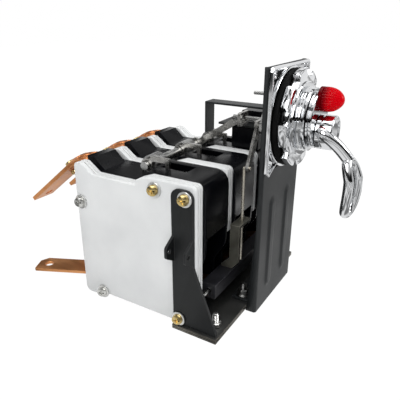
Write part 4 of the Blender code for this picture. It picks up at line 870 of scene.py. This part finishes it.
for k in range(1, len(line) - 1):
    before, after = line[k - 1] - line[k], line[k + 1] - line[k]
    first, last = line[k] + before * 0.49, line[k] + after * 0.49
    for t in [step / 8 for step in range(9)]:
        route.append(first * (1 - t) ** 2 + line[k] * 2 * t * (1 - t) + last * t ** 2)
route.append(line[-1])
ring = []
LOOP_POINTS = 72
for k in range(LOOP_POINTS):
    angle = 2 * math.pi * k / LOOP_POINTS
    swing, fall = math.sin(angle), math.cos(angle)
    side = LOOP_HALF * math.copysign(abs(swing) ** LOOP_FULL, swing)
    share = 0.5 - 0.5 * math.copysign(abs(fall) ** LOOP_FULL, fall)
    lean = LOOP_LEAN * max(0.0, 1.0 - share * (LOOP_DROP - LOOP_TOP) / (2 * LOOP_HALF))
    lean -= LOOP_BOW * (1.0 - (2 * share - 1.0) ** 2)
    ring.append(Vector((barrel_x + side * math.cos(LOOP_TURN),
                        hub_back - LOOP_REACH + lean - side * math.sin(LOOP_TURN),
                        handle_z - LOOP_TOP - share * (LOOP_DROP - LOOP_TOP))))


def bar(name, route, radius, closed):
    """A round bar along a route, as a plain mesh."""
    curve = bpy.data.curves.new(name, "CURVE")
    curve.dimensions = "3D"
    curve.bevel_depth = radius
    curve.bevel_resolution = 6
    curve.use_fill_caps = not closed
    spline = curve.splines.new("POLY")
    spline.use_cyclic_u = closed
    spline.points.add(len(route) - 1)
    for point, place in zip(spline.points, route):
        point.co = (*place, 1.0)
    holder = bpy.data.objects.new(name, curve)
    scene.collection.objects.link(holder)
    bpy.context.view_layer.update()
    made = bpy.data.meshes.new_from_object(holder.evaluated_get(bpy.context.evaluated_depsgraph_get()))
    bpy.data.objects.remove(holder)
    return made


piece("handle_hub", hub, chrome, "handle", ("handle",))
piece("handle_arm", bar("handle_arm", route, ARM_R, False), chrome, "handle", crease=60.0)
piece("handle_loop", bar("handle_loop", ring, LOOP_R, True), chrome, "handle", crease=60.0)
shaft_steel = finish(
    "shaft_steel", deep=(0.36, 0.36, 0.355), pale=(0.56, 0.56, 0.545), metallic=1.0, smooth=0.18,
    rough=0.3, patch=120.0, grain=2200.0, lift=0.1, edge_wear_and_highlight=(0.6, 0.6, 0.59))
dress("handle_shaft", shaft_steel, 0.3 * MM)
dress("crank_plate", shaft_steel, 0.3 * MM)

# Push button: a fluted red lens over a dark red base, on a long steel push rod through the barrel.
red_lens = bpy.data.materials.new("red_lens")
red_lens.use_nodes = True
tree = red_lens.node_tree
shader = tree.nodes["Principled BSDF"]
place = put(tree, "ShaderNodeTexCoord").outputs["Object"]
depth = put(tree, "ShaderNodeSeparateXYZ", {0: place}).outputs["Y"]
low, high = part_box("red_button")
depth = put(tree, "ShaderNodeMapRange", {"Value": depth, "From Min": low.y, "From Max": high.y}).outputs[0]
swirl = put(tree, "ShaderNodeTexNoise", {"Vector": place, "Scale": 90.0, "Detail": 1.0}).outputs["Fac"]
mixed = put(tree, "ShaderNodeMath", {0: swirl, 1: -0.5}, operation="ADD").outputs[0]
mixed = put(tree, "ShaderNodeMath", {0: mixed, 1: 0.3, 2: depth}, operation="MULTIPLY_ADD").outputs[0]
reds = ramp(tree, mixed, ((0.0, (0.5, 0.0, 0.004)), (0.5, (0.42, 0.0, 0.003)), (0.75, (0.12, 0.0, 0.002)),
                          (1.0, (0.03, 0.0, 0.001))))
tree.links.new(reds, shader.inputs["Base Color"])
shader.inputs["Roughness"].default_value = 0.16
shader.inputs["Specular IOR Level"].default_value = 0.05
# The faint red emission is a painted glow: the lens lights itself a little as if lit through, though it is no
# lamp.
shader.inputs["Emission Color"].default_value = (0.6, 0.0, 0.005, 1.0)
shader.inputs["Emission Strength"].default_value = 0.05
NOSE_LENGTH = 13.0 * MM
FLUTES = 26
FLUTE_DEPTH = 0.03
button_z = (low.z + high.z) / 2
button_r = (high.z - low.z) / 2
dome = low.y


def flute(angle, station):
    """Fine lengthwise flutes on the lens that die out on its dome and its base."""
    share = min(1.0, max(0.0, (station - dome - 2.0 * MM) / (4.0 * MM)))
    share *= min(1.0, max(0.0, (high.y - 3.0 * MM - station) / (0.5 * MM)))
    return 1.0 + FLUTE_DEPTH * share * math.cos(FLUTES * angle)


lens_r = button_r * 0.965
lens = [(lens_r * math.sin(math.pi / 24 * k), dome + NOSE_LENGTH * (1 - math.cos(math.pi / 24 * k)))
        for k in range(13)]
lens += [(lens_r, high.y - 6.0 * MM), (lens_r, high.y - 3.6 * MM), (button_r * 0.9, high.y - 3.2 * MM),
         (button_r, high.y - 2.8 * MM), (button_r, high.y - 0.5 * MM), (button_r - 0.5 * MM, high.y),
         (0.0, high.y)]
button = turned("Y", (barrel_x, button_z), lens, 6 * FLUTES, flute)
piece("red_button_skin", button, red_lens, "button", ("red_button",))
dress("button_plunger", shaft_steel, 0.2 * MM)

# Lift linkage: link, ivory-sleeved rod, bent lifting lever and the insulating crossbar with its contacts.
link_steel = finish(
    "link_steel", deep=(0.32, 0.315, 0.3), pale=(0.54, 0.53, 0.51), metallic=1.0, smooth=0.2, rough=0.34,
    patch=150.0, grain=2200.0, lift=0.12, edge_wear_and_highlight=(0.6, 0.58, 0.54))
rod_sleeve = finish(
    "rod_sleeve", deep=(0.6, 0.56, 0.47), pale=(0.8, 0.76, 0.67), metallic=0.85, smooth=0.18, rough=0.3,
    patch=150.0, grain=2000.0, lift=0.05)
lever_steel = finish(
    "lever_steel", deep=(0.08, 0.078, 0.064), pale=(0.15, 0.146, 0.122), metallic=0.7, smooth=0.32,
    rough=0.48, patch=70.0, grain=1500.0, lift=0.15, edge_wear_and_highlight=(0.42, 0.4, 0.34))
bar_coat = finish(
    "crossbar_phenolic", deep=(0.008, 0.008, 0.01), pale=(0.018, 0.018, 0.022), metallic=0.0, smooth=0.35,
    rough=0.5, patch=80.0, grain=1400.0, lift=0.15, edge_wear_and_highlight=(0.05, 0.05, 0.055))
# The moving contacts' copper is painted very dark: painted shade for the shadow inside the open housing
# mouths.
contact_copper_painted_shade = finish(
    "contact_copper_painted_shade", deep=(0.1, 0.042, 0.022), pale=(0.2, 0.09, 0.05), metallic=1.0, smooth=0.35,
    rough=0.5, patch=90.0, grain=1200.0, lift=0.15)
dress("drive_link", link_steel, 0.3 * MM)
dress("drive_rod", rod_sleeve, 0.2 * MM)
dress("lifting_lever", lever_steel, 0.7 * MM)
dress("crossbar", bar_coat, 0.5 * MM)
dress("crossbar_pin", shaft_steel, 0.3 * MM)
for i in range(3):
    dress(f"moving_contact_{i + 1}", contact_copper_painted_shade, 0.4 * MM)

# Top shaft: a steel bar in three saddles, with a finger over each pole and the long drive lever.
saddle_steel = finish(
    "saddle_steel", deep=(0.3, 0.3, 0.3), pale=(0.5, 0.5, 0.49), metallic=1.0, smooth=0.22, rough=0.36,
    patch=90.0, grain=1800.0, lift=0.12, edge_wear_and_highlight=(0.5, 0.5, 0.49))
dress("top_shaft", shaft_steel, 0.3 * MM)
dress("drive_lever", link_steel, 0.3 * MM)
for i in range(3):
    dress(f"saddle_{i + 1}", saddle_steel, 0.4 * MM)
    dress(f"crank_finger_{i + 1}", link_steel, 0.3 * MM)

# Interlock: a small black switch with a steel lid, a stepped cover, and the sheet bracket that bridges them.
dress("interlock_switch", black_moulding, 0.6 * MM)
dress("interlock_lid", strap_coat, 0.3 * MM)
dress("interlock_cover", black_moulding, 0.8 * MM)
dress("bridge_bracket", panel_coat, 0.4 * MM)
